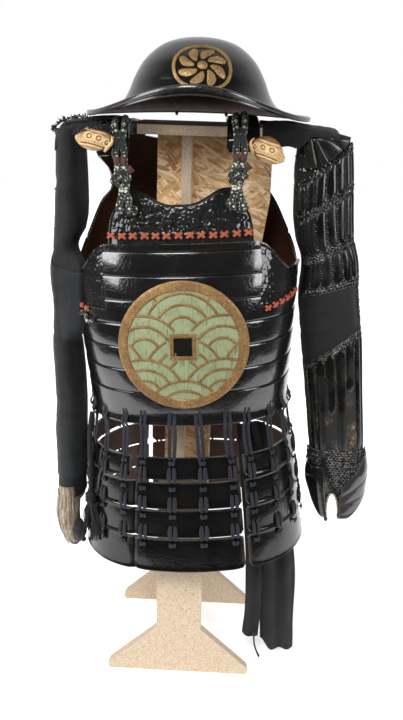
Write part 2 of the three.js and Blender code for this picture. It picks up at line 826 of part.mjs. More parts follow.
// Levels of a plated stretch: its mail bands, the splints' ends, and steps between them.
function platedLevels(bands) {
  const levels = [bands[0]];
  for (let i = 1; i < bands.length; i += 1) {
    const low = bands[i - 1] + bandMargin;
    const high = bands[i] - bandMargin;
    const steps = Math.max(1, Math.round((high - low) / longestStretch));
    levels.push(...spread(steps, low, high), bands[i]);
  }
  return levels;
}

const platingAngles = ({ from, to, splints }) => spread(splints * 2, from * DEG, to * DEG);

// The cloth has the plating's own angles and levels, so that the two lie evenly on each other.
function sleeveCloth(rows, plating, levels) {
  const plated = platingAngles(plating);
  const rest = spread(7, plating.to * DEG, (plating.from + 360) * DEG).slice(1, -1);
  return wall({
    us: [...plated, ...rest],
    vs: [...levels].sort((a, b) => a - b),
    at: (u, v) => sleevePoint(rows, u, v),
    out: () => cloth.wall,
    inn: () => -cloth.wall,
    wrap: true,
  });
}

// Plated side of a sleeve: upright splints on a backing of mail, parted by bands of bare mail.
function sleeveGuard(rows, plating, bands) {
  const us = platingAngles(plating);
  const base = cloth.wall + GAP;
  return wall({
    us,
    vs: platedLevels(bands),
    at: (u, v) => sleevePoint(rows, u, v),
    out: (u, v) => {
      const onSplint = us.indexOf(u) % 2 === 1 && !bands.includes(v);
      return base + cloth.guard + (onSplint ? cloth.rib : 0);
    },
    inn: () => base,
  });
}

// Back of the hand: overlapping plates that hang from the cuff, open at the palm side.
function rightHandGuard() {
  const outline = [
    { z: 414, x: 268, y: -22, half: 53, depth: 36 },
    { z: 380, x: 272, y: -22, half: 48, depth: 34 },
    { z: 340, x: 275, y: -24, half: 45, depth: 33 },
    { z: 297, x: 275, y: -30, half: 42, depth: 30 },
  ];
  const hem = outline[outline.length - 1].z;
  const heights = [hem, 310, 332, 333, 358, 359, 386, 387, 414];
  const tip = (u) => 16 * smooth(0.55, 1, Math.abs(u));
  return wall({
    us: spread(12, -1, 1),
    vs: heights,
    at: (u, v) => {
      const z = v + tip(u) * (1 - smooth(hem, 345, v));
      return sleevePoint(outline, u * 96 * DEG, z);
    },
    out: (u, v) => 2.4 + (heights.indexOf(v) % 2 === 0 && v > 300 ? 1.6 : 0),
    inn: () => -0.4,
  });
}

function leftHandGuard() {
  const outline = [
    { z: 313.4, x: -210, y: -14, half: 25, depth: 44 },
    { z: 275, x: -211, y: -16, half: 25, depth: 42 },
    { z: 240, x: -212, y: -18, half: 23, depth: 36 },
    { z: 214, x: -211, y: -20, half: 19, depth: 28 },
  ];
  return wall({
    us: spread(10, -150 * DEG, 62 * DEG),
    vs: [214, 228, 250, 280, 313.4],
    at: (u, v) => sleevePoint(outline, u, v),
    out: () => 1.4,
    inn: () => -1.4,
  });
}

// Crown flap that lies over a sleeve's open top and reaches in to the shoulder strap.
function shoulderFlap(side, inner, outer, height) {
  return wall({
    us: spread(6, 0, 1),
    vs: spread(4, -1, 1),
    at: (u, v) => {
      const x = inner + (outer - inner) * u;
      const y = -10 + v * (44 - 6 * u);
      return new THREE.Vector3(x, y, height - 13 * u ** 2 - 7 * v ** 2);
    },
    out: () => 1.5,
    inn: () => -1.5,
    facing: side,
  });
}

function addSleeves() {
  const rightLevels = [
    ...platedLevels(rightUpperBands),
    ...platedLevels(rightForearmBands),
    ...rightPlainLevels,
  ];
  const leftLevels = [...platedLevels(leftBands), ...leftPlainLevels];
  add('sleeve_right_cloth', sleeveCloth(rightSleeve, rightPlating, rightLevels), 'cloth');
  add('sleeve_right_upper_guard', sleeveGuard(rightSleeve, rightPlating, rightUpperBands), 'iron');
  add('sleeve_right_forearm_guard', sleeveGuard(rightSleeve, rightPlating, rightForearmBands), 'iron');
  add('sleeve_right_hand_guard', rightHandGuard(), 'lacquer');
  add('sleeve_left_cloth', sleeveCloth(leftSleeve, leftPlating, leftLevels), 'cloth');
  add('sleeve_left_guard', sleeveGuard(leftSleeve, leftPlating, leftBands), 'iron');
  add('sleeve_left_hand_guard', leftHandGuard(), 'lacquer');
  add('shoulder_flap_left', shoulderFlap(-1, -150, -232, 976), 'cloth');
  add('shoulder_flap_right', shoulderFlap(1, 111, 256, 976), 'cloth');
}

// ---------------------------------------------------------------- ornaments, cords and sash

// Small carved lion-dog mask: round above, a keel below, flat behind.
function maskBody({ x, y, z, turn }) {
  const geometry = new THREE.SphereGeometry(1, 14, 9);
  const place = geometry.attributes.position;
  for (let i = 0; i < place.count; i += 1) {
    const across = place.getX(i);
    const up = place.getY(i);
    const ahead = place.getZ(i);
    const keel = up < 0 ? 1 - 0.35 * across * across : 1 - 0.2 * Math.abs(across);
    place.setXYZ(i, across * mask.width / 2, (-ahead * mask.depth) / 2 * (ahead < 0 ? 0.55 : 1),
      up * keel * mask.height / 2);
  }
  const solid = bare(geometry);
  return solid.rotateY(turn * DEG).translate(x, y, z);
}

// Two cords side by side from the strap's end, through a toggle knot, to the breast plate.
function shoulderCords(top, bottom) {
  const middle = (top + bottom) / 2;
  const strands = [-1, 1].map((hand) => {
    const shift = (hand * shoulderCord.pitch) / 2;
    return tube([
      [top + shift, -64, 980],
      [top + shift, -88, 972],
      [top + shift, -101, 950],
      [(top + middle) / 2 + shift, -105, 918],
      [middle + shift * 0.9, -108, 894],
      [bottom + shift * 0.9, -113, 872],
      [bottom + shift * 0.9, -117, 856],
    ], shoulderCord.radius, 8, 10);
  });
  const knot = ball(middle, -105, 893, 12, 9, 11, 8);
  const bar = tube([
    [middle - toggle.length * 0.7, -109, 886],
    [middle, -112, 893],
    [middle + toggle.length * 0.7, -109, 898],
  ], toggle.radius, 8, 4);
  return join(...strands, knot, bar);
}

// Cord tied off at the cuirass's hem: one run down to a knot, and two tasselled ends below it.
function waistTie() {
  const { radius } = waistCord;
  const run = tube([
    [-160, -82, 490],
    [-163, -86, 460],
    [-163, -89, 425],
    [-162, -91, 385],
    [-162, -92, 342],
  ], radius, 8, 12);
  const knot = ball(-162, -92, 334, waistCord.knot, waistCord.knot, 11, 8);
  const tail = tube([[-163, -92, 332], [-167, -92, 310], [-168, -92, 268]], waistCord.tassel, 8, 5);
  const other = tube([[-161, -96, 332], [-152, -109, 306], [-144, -119, 262]], waistCord.tassel, 8, 5);
  return join(run, knot, tail, other);
}

// A length of hanging sash: half width, middle and sway at each height, with soft upright folds.
function sashPiece(rows, folds, depth, wallHalf) {
  const heights = rows.map(({ z }) => z).sort((a, b) => a - b);
  return wall({
    us: spread(folds * 4, -1, 1),
    vs: heights,
    at: (u, v) => {
      const wave = depth * Math.sin((u * folds + 0.25) * Math.PI);
      return new THREE.Vector3(
        follow(rows, 'x', v) + u * follow(rows, 'half', v),
        follow(rows, 'y', v) + wave,
        v + follow(rows, 'hang', v) * u * u,
      );
    },
    out: () => wallHalf,
    inn: () => -wallHalf,
  });
}

const sashWide = [
  { z: 470, x: 120, y: -40, half: 18, hang: 0 },
  { z: 360, x: 146, y: -42, half: 26, hang: 0 },
  { z: 240, x: 168, y: -44, half: 31, hang: 0 },
  { z: 150, x: 176, y: -46, half: 33, hang: 0 },
  { z: 60, x: 177, y: -47, half: 31, hang: 4 },
  { z: 4, x: 177, y: -48, half: 29, hang: 14 },
];

const sashNarrow = [
  { z: 470, x: 98, y: -54, half: 11, hang: 0 },
  { z: 300, x: 122, y: -60, half: 13, hang: 0 },
  { z: 180, x: 132, y: -64, half: 15, hang: 0 },
  { z: 110, x: 135, y: -64, half: 12, hang: 0 },
  { z: 46, x: 136, y: -64, half: 15, hang: 6 },
];

function addTrim() {
  add('mask_left', maskBody(leftMask), 'gold');
  add('mask_right', maskBody(rightMask), 'gold');
  add('shoulder_cords_left', shoulderCords(-89, -84), 'braid', body);
  add('shoulder_cords_right', shoulderCords(96, 90), 'braid', body);
  add('waist_cord', waistTie(), 'cord');
  add('sash_wide', sashPiece(sashWide, 2, 4, 1.2), 'silk');
  add('sash_narrow', sashPiece(sashNarrow, 1, 3, 1.2), 'silk');
}

// ---------------------------------------------------------------- the whole

addStand();
add('helmet_bowl', helmetBowl(), 'lacquer');
add('helmet_crest', helmetCrest(), 'gilt');
addCuirass();
addSkirt();
addSleeves();
addTrim();

const lean = new THREE.Matrix4().makeTranslation(0, 0, cuirass.pivot)
  .multiply(new THREE.Matrix4().makeRotationY(cuirass.lean * DEG))
  .multiply(new THREE.Matrix4().makeTranslation(0, 0, -cuirass.pivot));
body.applyMatrix4(lean);
armour.add(body);

// The origin is the middle of the whole on the floor.
armour.updateMatrixWorld(true);
const extent = new THREE.Box3().setFromObject(armour, true);
const middle = extent.getCenter(new THREE.Vector3());
armour.position.set(-middle.x, -middle.y, -extent.min.z);

export default armour;
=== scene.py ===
# Samurai armour on a wooden stand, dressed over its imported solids.
# Shapes are worked out in millimetres in the armour's own drawing, and go to metres as meshes are made.

import math

import bpy
import numpy as np
from mathutils import Matrix, Vector


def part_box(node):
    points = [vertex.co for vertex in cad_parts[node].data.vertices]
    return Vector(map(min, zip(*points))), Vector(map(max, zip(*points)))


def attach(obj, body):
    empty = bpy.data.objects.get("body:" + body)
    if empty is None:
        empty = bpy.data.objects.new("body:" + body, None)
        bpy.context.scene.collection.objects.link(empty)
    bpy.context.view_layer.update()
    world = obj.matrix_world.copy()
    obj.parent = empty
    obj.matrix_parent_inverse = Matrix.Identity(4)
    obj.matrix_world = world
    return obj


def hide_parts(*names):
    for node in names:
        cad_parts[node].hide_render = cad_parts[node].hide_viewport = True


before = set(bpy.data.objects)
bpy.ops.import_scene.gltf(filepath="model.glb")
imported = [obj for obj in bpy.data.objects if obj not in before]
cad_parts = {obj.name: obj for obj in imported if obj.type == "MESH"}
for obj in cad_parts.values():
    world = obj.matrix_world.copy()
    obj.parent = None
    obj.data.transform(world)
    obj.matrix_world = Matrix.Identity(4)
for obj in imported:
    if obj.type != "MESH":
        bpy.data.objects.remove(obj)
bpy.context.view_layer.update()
low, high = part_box("stand_front_panel")
SHIFT = np.array([(low.x + high.x) * 500 + 1, 0.0, 0.0])   # the posts' middle is at X -1 in the drawing
rng = np.random.default_rng(11)
RAD = math.pi / 180
TURN = 2 * math.pi

# ------------------------------------------------------------------ camera

CAMERA = dict(lens=42.0, sensor=36.0, tilt=17.12, yaw=2.0, roll=1.78, place=(71.4, -1422.6, 1004.3))


def make_camera():
    tilt, yaw, roll = (CAMERA[k] * RAD for k in ("tilt", "yaw", "roll"))
    right = Vector((math.cos(yaw), math.sin(yaw), 0))
    back = Vector((math.sin(yaw), -math.cos(yaw), 0))
    ahead = -back * math.cos(tilt) + Vector((0, 0, -math.sin(tilt)))
    up = right.cross(ahead)
    side = right * math.cos(roll) + up * math.sin(roll)
    top = up * math.cos(roll) - right * math.sin(roll)
    data = bpy.data.cameras.new("camera")
    data.lens, data.sensor_width = CAMERA["lens"], CAMERA["sensor"]
    data.clip_end = 50
    camera = bpy.data.objects.new("camera", data)
    bpy.context.scene.collection.objects.link(camera)
    turn = Matrix((side, top, -ahead)).transposed().to_4x4()
    camera.matrix_world = Matrix.Translation(metres(CAMERA["place"])) @ turn
    bpy.context.scene.camera = camera


def metres(point):
    return Vector((np.array(point, float) + SHIFT) / 1000)


# ------------------------------------------------------------------ numbers and curves


def smooth(a, b, x):
    t = np.clip((np.asarray(x, float) - a) / (b - a), 0, 1)
    return t * t * (3 - 2 * t)


def floats(*values):
    """The values as arrays of one shape."""
    return np.broadcast_arrays(*(np.asarray(value, float) for value in values))


def across(a, b, count):
    """Even steps down the first axis of a grid."""
    return np.linspace(a, b, count)[:, None]


def upward(a, b, count):
    """Even steps along the second axis of a grid."""
    return np.linspace(a, b, count)[None, :]


def circle(count):
    return np.linspace(0, TURN, count, endpoint=False)


def unit(vectors):
    return vectors / np.maximum(np.linalg.norm(vectors, axis=-1, keepdims=True), 1e-9)


def distance(path):
    """How far along a path each of its points lies."""
    return np.concatenate([[0], np.cumsum(np.linalg.norm(np.diff(path, axis=0), axis=1))])


def stand_off(surface, a, b, lift):
    """A point of a surface of two values, moved out along its normal."""
    tiny = 1e-3
    n = np.cross(surface(a + tiny, b) - surface(a - tiny, b), surface(a, b + tiny) - surface(a, b - tiny))
    return surface(a, b) + unit(n) * np.asarray(lift)[..., None]


def table(*rows, names):
    """Rows of a short table, sorted by z, as one array for each named column."""
    data = np.array(sorted(rows), float)
    return {name: data[:, i] for i, name in enumerate(("z",) + names)}


def follow(rows, column, z):
    """A column of a table, followed smoothly along z."""
    zs, ys = rows["z"], rows[column]
    z = np.clip(z, zs[0], zs[-1])
    i = np.clip(np.searchsorted(zs, z, side="right") - 1, 0, len(zs) - 2)
    slopes = np.empty(len(zs))
    for k in range(len(zs)):
        a, b = max(k - 1, 0), min(k + 1, len(zs) - 1)
        slopes[k] = (ys[b] - ys[a]) / (zs[b] - zs[a])
    width = zs[i + 1] - zs[i]
    t = (z - zs[i]) / width
    ease = t * t * (3 - 2 * t)
    pull = slopes[i] * width * t * (1 - t) ** 2 - slopes[i + 1] * width * t * t * (1 - t)
    return ys[i] + (ys[i + 1] - ys[i]) * ease + pull


def lattice(p, seed):
    """Repeatable random values from 0 to 1 at whole-number points."""
    h = np.sin(p[..., 0] * 127.1 + p[..., 1] * 311.7 + p[..., 2] * 74.7 + seed * 19.19) * 43758.5453
    return h - np.floor(h)


def noise(p, size, seed=0, octaves=1):
    """Smooth noise from -1 to 1 over points, with lumps of that size in mm."""
    total, weight, norm = 0.0, 1.0, 0.0
    p = np.asarray(p, float) / size
    for _ in range(octaves):
        cell = np.floor(p)
        f = p - cell
        f = f * f * (3 - 2 * f)
        value = 0.0
        for corner in np.ndindex(2, 2, 2):
            c = np.array(corner)
            share = np.prod(np.where(c == 1, f, 1 - f), axis=-1)
            value = value + share * lattice(cell + c, seed)
        total, norm = total + weight * (2 * value - 1), norm + weight
        p, weight, seed = p * 2.03, weight * 0.5, seed + 1
    return total / norm


# ------------------------------------------------------------------ meshes


def normals(points, wrap=False):
    du = np.roll(points, -1, 0) - np.roll(points, 1, 0) if wrap else np.gradient(points, axis=0)
    return unit(np.cross(du, np.gradient(points, axis=1)))


def quads(columns, rows, wrap=False, keep=None):
    """Faces of a grid whose points are numbered up each column in turn."""
    i, j = np.meshgrid(np.arange(columns if wrap else columns - 1), np.arange(rows - 1), indexing="ij")
    a, b = i * rows + j, (i + 1) % columns * rows + j
    faces = np.stack([a, b, b + 1, a + 1], -1)
    return (faces if keep is None else faces[keep]).reshape(-1, 4)


def borders(columns, rows):
    """Faces that join the borders of two grids, the second numbered on from the first."""
    size, end = columns * rows, rows - 1
    i, j, last = np.arange(columns - 1) * rows, np.arange(rows - 1), size - rows
    pairs = ((i, i + rows), (i + rows + end, i + end), (j + 1, j), (last + j, last + j + 1))
    return np.concatenate([np.stack([a, b, b + size, a + size], -1) for a, b in pairs])


def ring_borders(count, rows):
    """The same for two grids that close on themselves: the first row's faces, then the last row's."""
    size, k = count * rows, np.arange(count) * rows
    after, end = np.roll(k, -1), rows - 1
    return (np.stack([k, after, after + size, k + size], -1),
            np.stack([k + end, k + end + size, after + end + size, after + end], -1))


def wall(points, out, inn, wrap=False, flip=False, keep=None):
    """A closed wall on a surface grid: its faces lie out and inn from it along the normal."""
    columns, rows = points.shape[:2]
    n = normals(points, wrap) * (-1 if flip else 1)
    skins = [points + n * np.broadcast_to(d, (columns, rows))[..., None] for d in (out, inn)]
    size = columns * rows
    outer = quads(columns, rows, wrap, keep)
    edges = {}
    for face in outer.tolist():
        for a, b in zip(face, face[1:] + face[:1]):
            if (b, a) in edges:
                del edges[(b, a)]
            else:
                edges[(a, b)] = True
    rim = np.array([[b, a, a + size, b + size] for a, b in edges], int).reshape(-1, 4)
    faces = np.concatenate([outer, outer[:, ::-1] + size, rim])
    kinds = np.repeat([0, 1, 0], [len(outer), len(outer), len(rim)])
    return Shape(skins, faces[:, ::-1] if flip else faces, kinds)


class Shape:
    """Vertices in mm, four-cornered faces (a triangle repeats a corner), and a material number a face."""

    def __init__(self, verts, faces, kinds=None, uv=None):
        self.verts = np.asarray(verts, float).reshape(-1, 3)
        self.faces = np.asarray(faces, int).reshape(-1, 4)
        self.kinds = np.zeros(len(self.faces), int) if kinds is None else np.asarray(kinds, int)
        self.uv = np.zeros((len(self.verts), 2)) if uv is None else np.asarray(uv, float)

    def moved(self, change):
        return Shape(change(self.verts), self.faces, self.kinds, self.uv)

    def kind(self, number):
        return Shape(self.verts, self.faces, np.full(len(self.faces), number), self.uv)


def together(shapes):
    starts = np.cumsum([0] + [len(s.verts) for s in shapes[:-1]])
    faces = [s.faces + k for s, k in zip(shapes, starts)]
    parts = [[s.verts for s in shapes], faces, [s.kinds for s in shapes], [s.uv for s in shapes]]
    return Shape(*(np.concatenate(part) for part in parts))


LEAN, LEAN_PIVOT = -3.3, 565


def lean(points):
    """The cuirass and skirt hang askew: they turn by LEAN degrees about Y, at the pivot's height."""
    c, s = math.cos(LEAN * RAD), math.sin(LEAN * RAD)
    x, y, z = points[..., 0], points[..., 1], points[..., 2] - LEAN_PIVOT
    return np.stack([x * c + z * s, y, z * c - x * s + LEAN_PIVOT], -1)


def piece(name, shape, materials, nodes=(), leaned=False, crease=35):
    """One object of the model, in place, riding on the stand."""
    if leaned:
        shape = shape.moved(lean)
    data = bpy.data.meshes.new(name)
    verts = (shape.verts + SHIFT) / 1000
    faces = [f[:3] if f[2] == f[3] else f for f in shape.faces.tolist()]
    data.from_pydata(verts.tolist(), [], faces)
    data.polygons.foreach_set("material_index", shape.kinds.astype(np.int32))
    loops = np.empty(len(data.loops), np.int32)
    data.loops.foreach_get("vertex_index", loops)
    layer = data.uv_layers.new(name="UVMap")
    layer.data.foreach_set("uv", shape.uv[loops].astype(np.float32).ravel())
    data.shade_smooth()
    data.set_sharp_from_angle(angle=crease * RAD)
    made = bpy.data.objects.new(name, data)
    bpy.context.scene.collection.objects.link(made)
    for material in materials if isinstance(materials, (list, tuple)) else [materials]:
        data.materials.append(material)
    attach(made, "root")
    if nodes:
        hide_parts(*nodes)
    return made


def frames(path):
    """Tangent and two crossing directions along a path that turn as little as they can."""
    tangents = unit(np.gradient(path, axis=0))
    side = np.cross(tangents[0], (0.3, 0.9, 0.1))
    sides = []
    for t in tangents:
        side = side - t * (side @ t)
        side /= np.linalg.norm(side)
        sides.append(side)
    sides = np.array(sides)
    return tangents, sides, np.cross(tangents, sides)


def hoops(count, around):
    """Faces of a tube of rings, each ring's points numbered in turn."""
    i, j = np.meshgrid(np.arange(count - 1) * around, np.arange(around), indexing="ij")
    p, q = i + j, i + (j + 1) % around
    return np.stack([p, q, q + around, p + around], -1).reshape(-1, 4)


def tube(path, radius, around=10, flat=1.0, side=None):
    """A capped tube along a path. Radius may change along it; flat squashes its section."""
    path = np.asarray(path, float)
    count = len(path)
    tangents, a, b = frames(path)
    if side is not None:
        b = unit(np.cross(tangents, np.broadcast_to(side, path.shape)))
        a = np.cross(b, tangents)
    angle = (np.arange(around) / around * TURN)[None, :, None]
    ring = a[:, None] * np.cos(angle) * flat + b[:, None] * np.sin(angle)
    verts = (path[:, None] + ring * np.broadcast_to(radius, count)[:, None, None]).reshape(-1, 3)
    k, ends, last = np.arange(around), count * around, (count - 1) * around
    after = (k + 1) % around
    caps = [np.stack([0 * k + ends, after, k, k], -1),
            np.stack([0 * k + ends + 1, last + k, last + after, last + after], -1)]
    run = distance(path) / 1000
    uv = np.stack([np.tile(k / around, count), np.repeat(run, around)], -1)
    return Shape(np.concatenate([verts, path[:1], path[-1:]]), np.concatenate([hoops(count, around)] + caps),
                 None, np.concatenate([uv, [[0, 0], [0, run[-1]]]]))


def curve(points, count):
    """A smooth path through a few points, in even steps."""
    p = np.asarray(points, float)
    step = np.concatenate([[0], np.cumsum(np.linalg.norm(np.diff(p, axis=0), axis=1) ** 0.5)])
    fine = np.linspace(0, step[-1], count * 6)
    path = np.stack([follow({"z": step, "at": p[:, k]}, "at", fine) for k in range(3)], -1)
    run = distance(path)
    return np.stack([np.interp(np.linspace(0, run[-1], count), run, path[:, k]) for k in range(3)], -1)


def ball(centre, radii, around=16):
    """An egg shape with the given half sizes."""
    u, v = circle(around)[:, None], np.linspace(-math.pi / 2, math.pi / 2, around // 2 + 1)[None, 1:-1]
    grid = np.stack([np.cos(v) * np.cos(u), np.cos(v) * np.sin(u), np.sin(v) + 0 * u], -1)
    verts = np.concatenate([grid.reshape(-1, 3), [[0, 0, -1], [0, 0, 1]]])
    rows, poles = v.size, around * v.size
    k = np.arange(around) * rows
    after = np.roll(k, -1)
    top, top_after = k + rows - 1, after + rows - 1
    caps = [np.stack([0 * k + poles, after, k, k], -1),
            np.stack([0 * k + poles + 1, top, top_after, top_after], -1)]
    return Shape(verts * radii + np.array(centre), np.concatenate([quads(around, rows, True)] + caps))


# ------------------------------------------------------------------ materials


NAMES = {"coat": "Coat Weight", "coat_rough": "Coat Roughness", "sheen": "Sheen Weight", "rough": "Roughness",
         "sheen_rough": "Sheen Roughness", "specular": "Specular IOR Level", "color": "Base Color",
         "metal": "Metallic"}


class Look:
    """A material made of nodes, with short names for the ones used here. Sizes are in mm."""

    def __init__(self, name, space="Object"):
        self.material = bpy.data.materials.new(name)
        self.material.use_nodes = True
        self.tree = self.material.node_tree
        self.shader = self.tree.nodes["Principled BSDF"]
        self.where = self.node("ShaderNodeTexCoord").outputs[space]
        self.height = None

    def put(self, **settings):
        for name, value in settings.items():
            self.set(self.shader.inputs[NAMES[name]], value)

    def set(self, socket, value):
        if isinstance(value, bpy.types.NodeSocket):
            self.tree.links.new(value, socket)
        elif socket.type == "RGBA" and len(value) == 3:
            socket.default_value = (*value, 1)
        else:
            socket.default_value = value

    def node(self, kind, sockets=(), **settings):
        made = self.tree.nodes.new(kind)
        for name, value in settings.items():
            setattr(made, name, value)
        for key, value in dict(sockets).items():
            self.set(made.inputs[key], value)
        return made

    def space(self, stretch=(1, 1, 1), turn=(0, 0, 0), source=None):
        made = self.node("ShaderNodeMapping", {0: source or self.where})
        made.inputs["Scale"].default_value = stretch
        made.inputs["Rotation"].default_value = [a * RAD for a in turn]
        return made.outputs[0]

    def vector(self, a, how, **sockets):
        """Vector arithmetic; the other sockets are given by number, such as _1."""
        rest = {int(key[1:]): value for key, value in sockets.items()}
        return self.node("ShaderNodeVectorMath", {0: a, **rest}, operation=how).outputs[0]

    def noise(self, size, detail=3, rough=0.5, bend=0, where=None):
        sockets = {"Vector": where or self.where, "Scale": 1000 / size, "Detail": detail, "Roughness": rough,
                   "Distortion": bend}
        return self.node("ShaderNodeTexNoise", sockets).outputs[0]

    def cells(self, size, feature="F1", where=None, output="Distance"):
        sockets = {"Vector": where or self.where, "Scale": 1000 / size}
        return self.node("ShaderNodeTexVoronoi", sockets, feature=feature).outputs[output]

    def waves(self, size, axis="X", bend=0, detail=2, where=None):
        sockets = {"Vector": where or self.where, "Scale": 1000 / size / 6.283 * 2, "Distortion": bend,
                   "Detail": detail}
        return self.node("ShaderNodeTexWave", sockets, bands_direction=axis).outputs["Fac"]

    def ramp(self, value, *stops):
        """Colours, or plain numbers, at places from 0 to 1."""
        made = self.node("ShaderNodeValToRGB", {0: value})
        marks = made.color_ramp.elements
        while len(marks) < len(stops):
            marks.new(0.5)
        for mark, (place, colour) in zip(marks, stops):
            mark.position = place
            mark.color = (colour,) * 3 + (1,) if isinstance(colour, (int, float)) else (*colour, 1)
        return made.outputs[0]

    def step(self, value, low, high):
        """0 below low and 1 above high."""
        return self.ramp(value, (low, 0.0), (high, 1.0))

    def line(self, value, low, middle, high):
        """A thin band of 1 about the middle."""
        return self.ramp(value, (low, 0.0), (middle, 1.0), (high, 0.0))

    def patches(self, size, detail, rough, low, high):
        return self.step(self.noise(size, detail, rough), low, high)

    def sum(self, a, b, how="ADD"):
        return self.node("ShaderNodeMath", {0: a, 1: b}, operation=how).outputs[0]

    def times(self, a, b):
        return self.sum(a, b, "MULTIPLY")

    def blend(self, share, a, b):
        """Colour a, with that share of b."""
        return self.node("ShaderNodeMix", {0: share, 6: a, 7: b}, data_type="RGBA").outputs[2]

    def bump(self, height, depth):
        """Adds relief: the height's full range stands for that depth in mm."""
        made = self.node("ShaderNodeBump", {"Height": height, "Strength": 1.0, "Distance": depth / 1000})
        if self.height is not None:
            self.set(made.inputs["Normal"], self.height)
        self.height = made.outputs[0]
        self.set(self.shader.inputs["Normal"], self.height)
        return self

    def worn(self, size, amount):
        """High on edges that stand out, broken up by noise."""
        edge = self.step(self.node("ShaderNodeNewGeometry").outputs["Pointiness"], 0.5, 0.56)
        return self.times(edge, self.patches(size, 5, 0.65, 0.5 - amount / 3, 0.62))


def lacquer_look(name, wear=0.3, tone=0.0045, dull=False, gloss=0.45):
    """Black lacquer over leather: hand-rubbed, finely crazed, worn grey-brown on its edges."""
    uneven = ((0.36, 0.14), (0.48, 0.3), (0.8, 0.6)) if dull else ((0.3, 0.1), (0.55, 0.15), (0.8, 0.3))
    grain = (34, 3, 0.6) if dull else (26, 5, 0.7)
    rubbed = (tone * 2.2, tone * 2.0, tone * 1.9)
    return lacquered(name, wear, (tone,) * 3, rubbed, grain, uneven, gloss, min(0.6, gloss + 0.2))


def lacquered(name, wear, base, rubbed, grain, uneven, coat, specular):
    """Lacquer, with patches of noise of a size, detail and roughness that set how uneven its gloss is."""
    look = Look(name)
    colour = look.blend(look.patches(55, 4, 0.6, 0.35, 0.75), base, rubbed)
    colour = look.blend(look.times(look.worn(30, 0.5), wear), colour, (0.13, 0.12, 0.11))
    crack = look.step(look.cells(7, "DISTANCE_TO_EDGE"), 0.0, 0.07)
    look.put(color=colour, rough=look.ramp(look.noise(*grain), *uneven), coat=coat, coat_rough=0.08,
             specular=specular)
    return look.bump(look.noise(22, 2), 0.4).bump(look.noise(3.2, 3, 0.6), 0.09).bump(crack, 0.05).material


def brown_look(name):
    """The red-brown lacquer inside the plates."""
    uneven = ((0.3, 0.42), (0.55, 0.5), (0.8, 0.6))
    return lacquered(name, 0.2, (0.045, 0.016, 0.009), (0.09, 0.035, 0.02), (26, 5, 0.7), uneven, 0.1, 0.3)


def inside_look(name):
    """The helmet's underside: old red-brown lacquer, nearly matt and blackened in patches."""
    look = Look(name)
    colour = look.blend(look.patches(38, 4, 0.6, 0.35, 0.7), (0.034, 0.011, 0.008), (0.010, 0.005, 0.004))
    look.put(color=colour, rough=look.ramp(look.noise(9), (0.3, 0.65), (0.7, 0.85)), specular=0.08)
    return look.bump(look.noise(7, 3, 0.6), 0.2).material


def leather_look(name):
    """Black lacquered leather with a raised, wrinkled grain that catches the light."""
    look = Look(name)
    grain = look.cells(3.6, "SMOOTH_F1", bent(look, 6, 1.6))
    fold = look.line(look.noise(5.0, 3, 0.55, 1.2), 0.38, 0.5, 0.62)
    colour = look.blend(look.step(grain, 0.1, 0.6), (0.006, 0.0055, 0.005), (0.002, 0.002, 0.002))
    look.put(color=colour, rough=look.ramp(look.noise(12, 4, 0.6), (0.3, 0.24), (0.7, 0.36)), coat=0.75,
             coat_rough=0.04, specular=0.2)
    return look.bump(grain, -2.2).bump(fold, 0.9).material


def bent(look, size, amount):
    """The material's own coordinates, pushed about by noise."""
    sockets = {"Vector": look.where, "Scale": 1000 / size, "Detail": 2.0}
    push = look.node("ShaderNodeTexNoise", sockets).outputs[1]
    shift = look.vector(push, "SUBTRACT", _1=(0.5, 0.5, 0.5))
    return look.vector(look.where, "ADD", _1=look.vector(shift, "SCALE", _3=amount / 1000))


def gold_look(name, deep=(0.16, 0.085, 0.03), high=(0.55, 0.36, 0.15), metal=0.55, rough=0.42, speck=2.2):
    """Worn gilding: brown in the hollows, speckled where it has rubbed thin."""
    look = Look(name)
    spots = look.patches(speck, 3, 0.7, 0.38, 0.62)
    kept = look.ramp(look.noise(24, 4, 0.6), (0.3, 0.35), (0.7, 1.0))
    look.put(color=look.blend(look.times(spots, kept), deep, high), metal=metal,
             rough=look.ramp(spots, (0.0, rough + 0.25), (1.0, rough)))
    return look.bump(look.noise(speck * 0.7, 2), 0.12).bump(look.noise(9), 0.2).material


def patina_look(name):
    """Pale green ground, brushed up and down, with darker scratches and brown specks."""
    look = Look(name)
    lines = look.noise(1.1, 4, 0.65, 0, look.space((1, 1, 0.06)))
    creases = look.step(look.noise(2.6, 3, 0.6, 0.4, look.space((1, 1, 0.13))), 0.36, 0.46)
    ground = look.blend(look.step(lines, 0.3, 0.7), (0.19, 0.23, 0.115), (0.31, 0.37, 0.2))
    ground = look.blend(look.ramp(look.noise(30, 4), (0.3, 0.0), (0.8, 0.5)), ground, (0.34, 0.36, 0.21))
    look.put(color=look.blend(creases, (0.17, 0.18, 0.09), ground), rough=0.62, metal=0.12)
    return look.bump(lines, 0.25).bump(creases, 0.3).material


def cloth_look(name, colour=(0.0028, 0.0031, 0.0038), pale=(0.0145, 0.0152, 0.017), thread=1.1, sheen=0.06):
    """Plain woven hemp, dyed nearly black, faded in soft patches."""
    look = Look(name)
    weave = look.sum(look.waves(thread, "DIAGONAL", 0.6), look.waves(thread, "Z", 0.6), "MAXIMUM")
    tint = look.blend(look.patches(48, 6, 0.68, 0.36, 0.68), colour, pale)
    slub = look.ramp(look.noise(5, 4, 0.7, 0, look.space((1, 1, 0.12))), (0.4, 0.0), (0.75, 0.6))
    look.put(color=look.blend(slub, tint, pale), rough=0.92, sheen=sheen, sheen_rough=0.5)
    return look.bump(weave, 0.22).bump(look.noise(9, 4, 0.6), 0.5).material


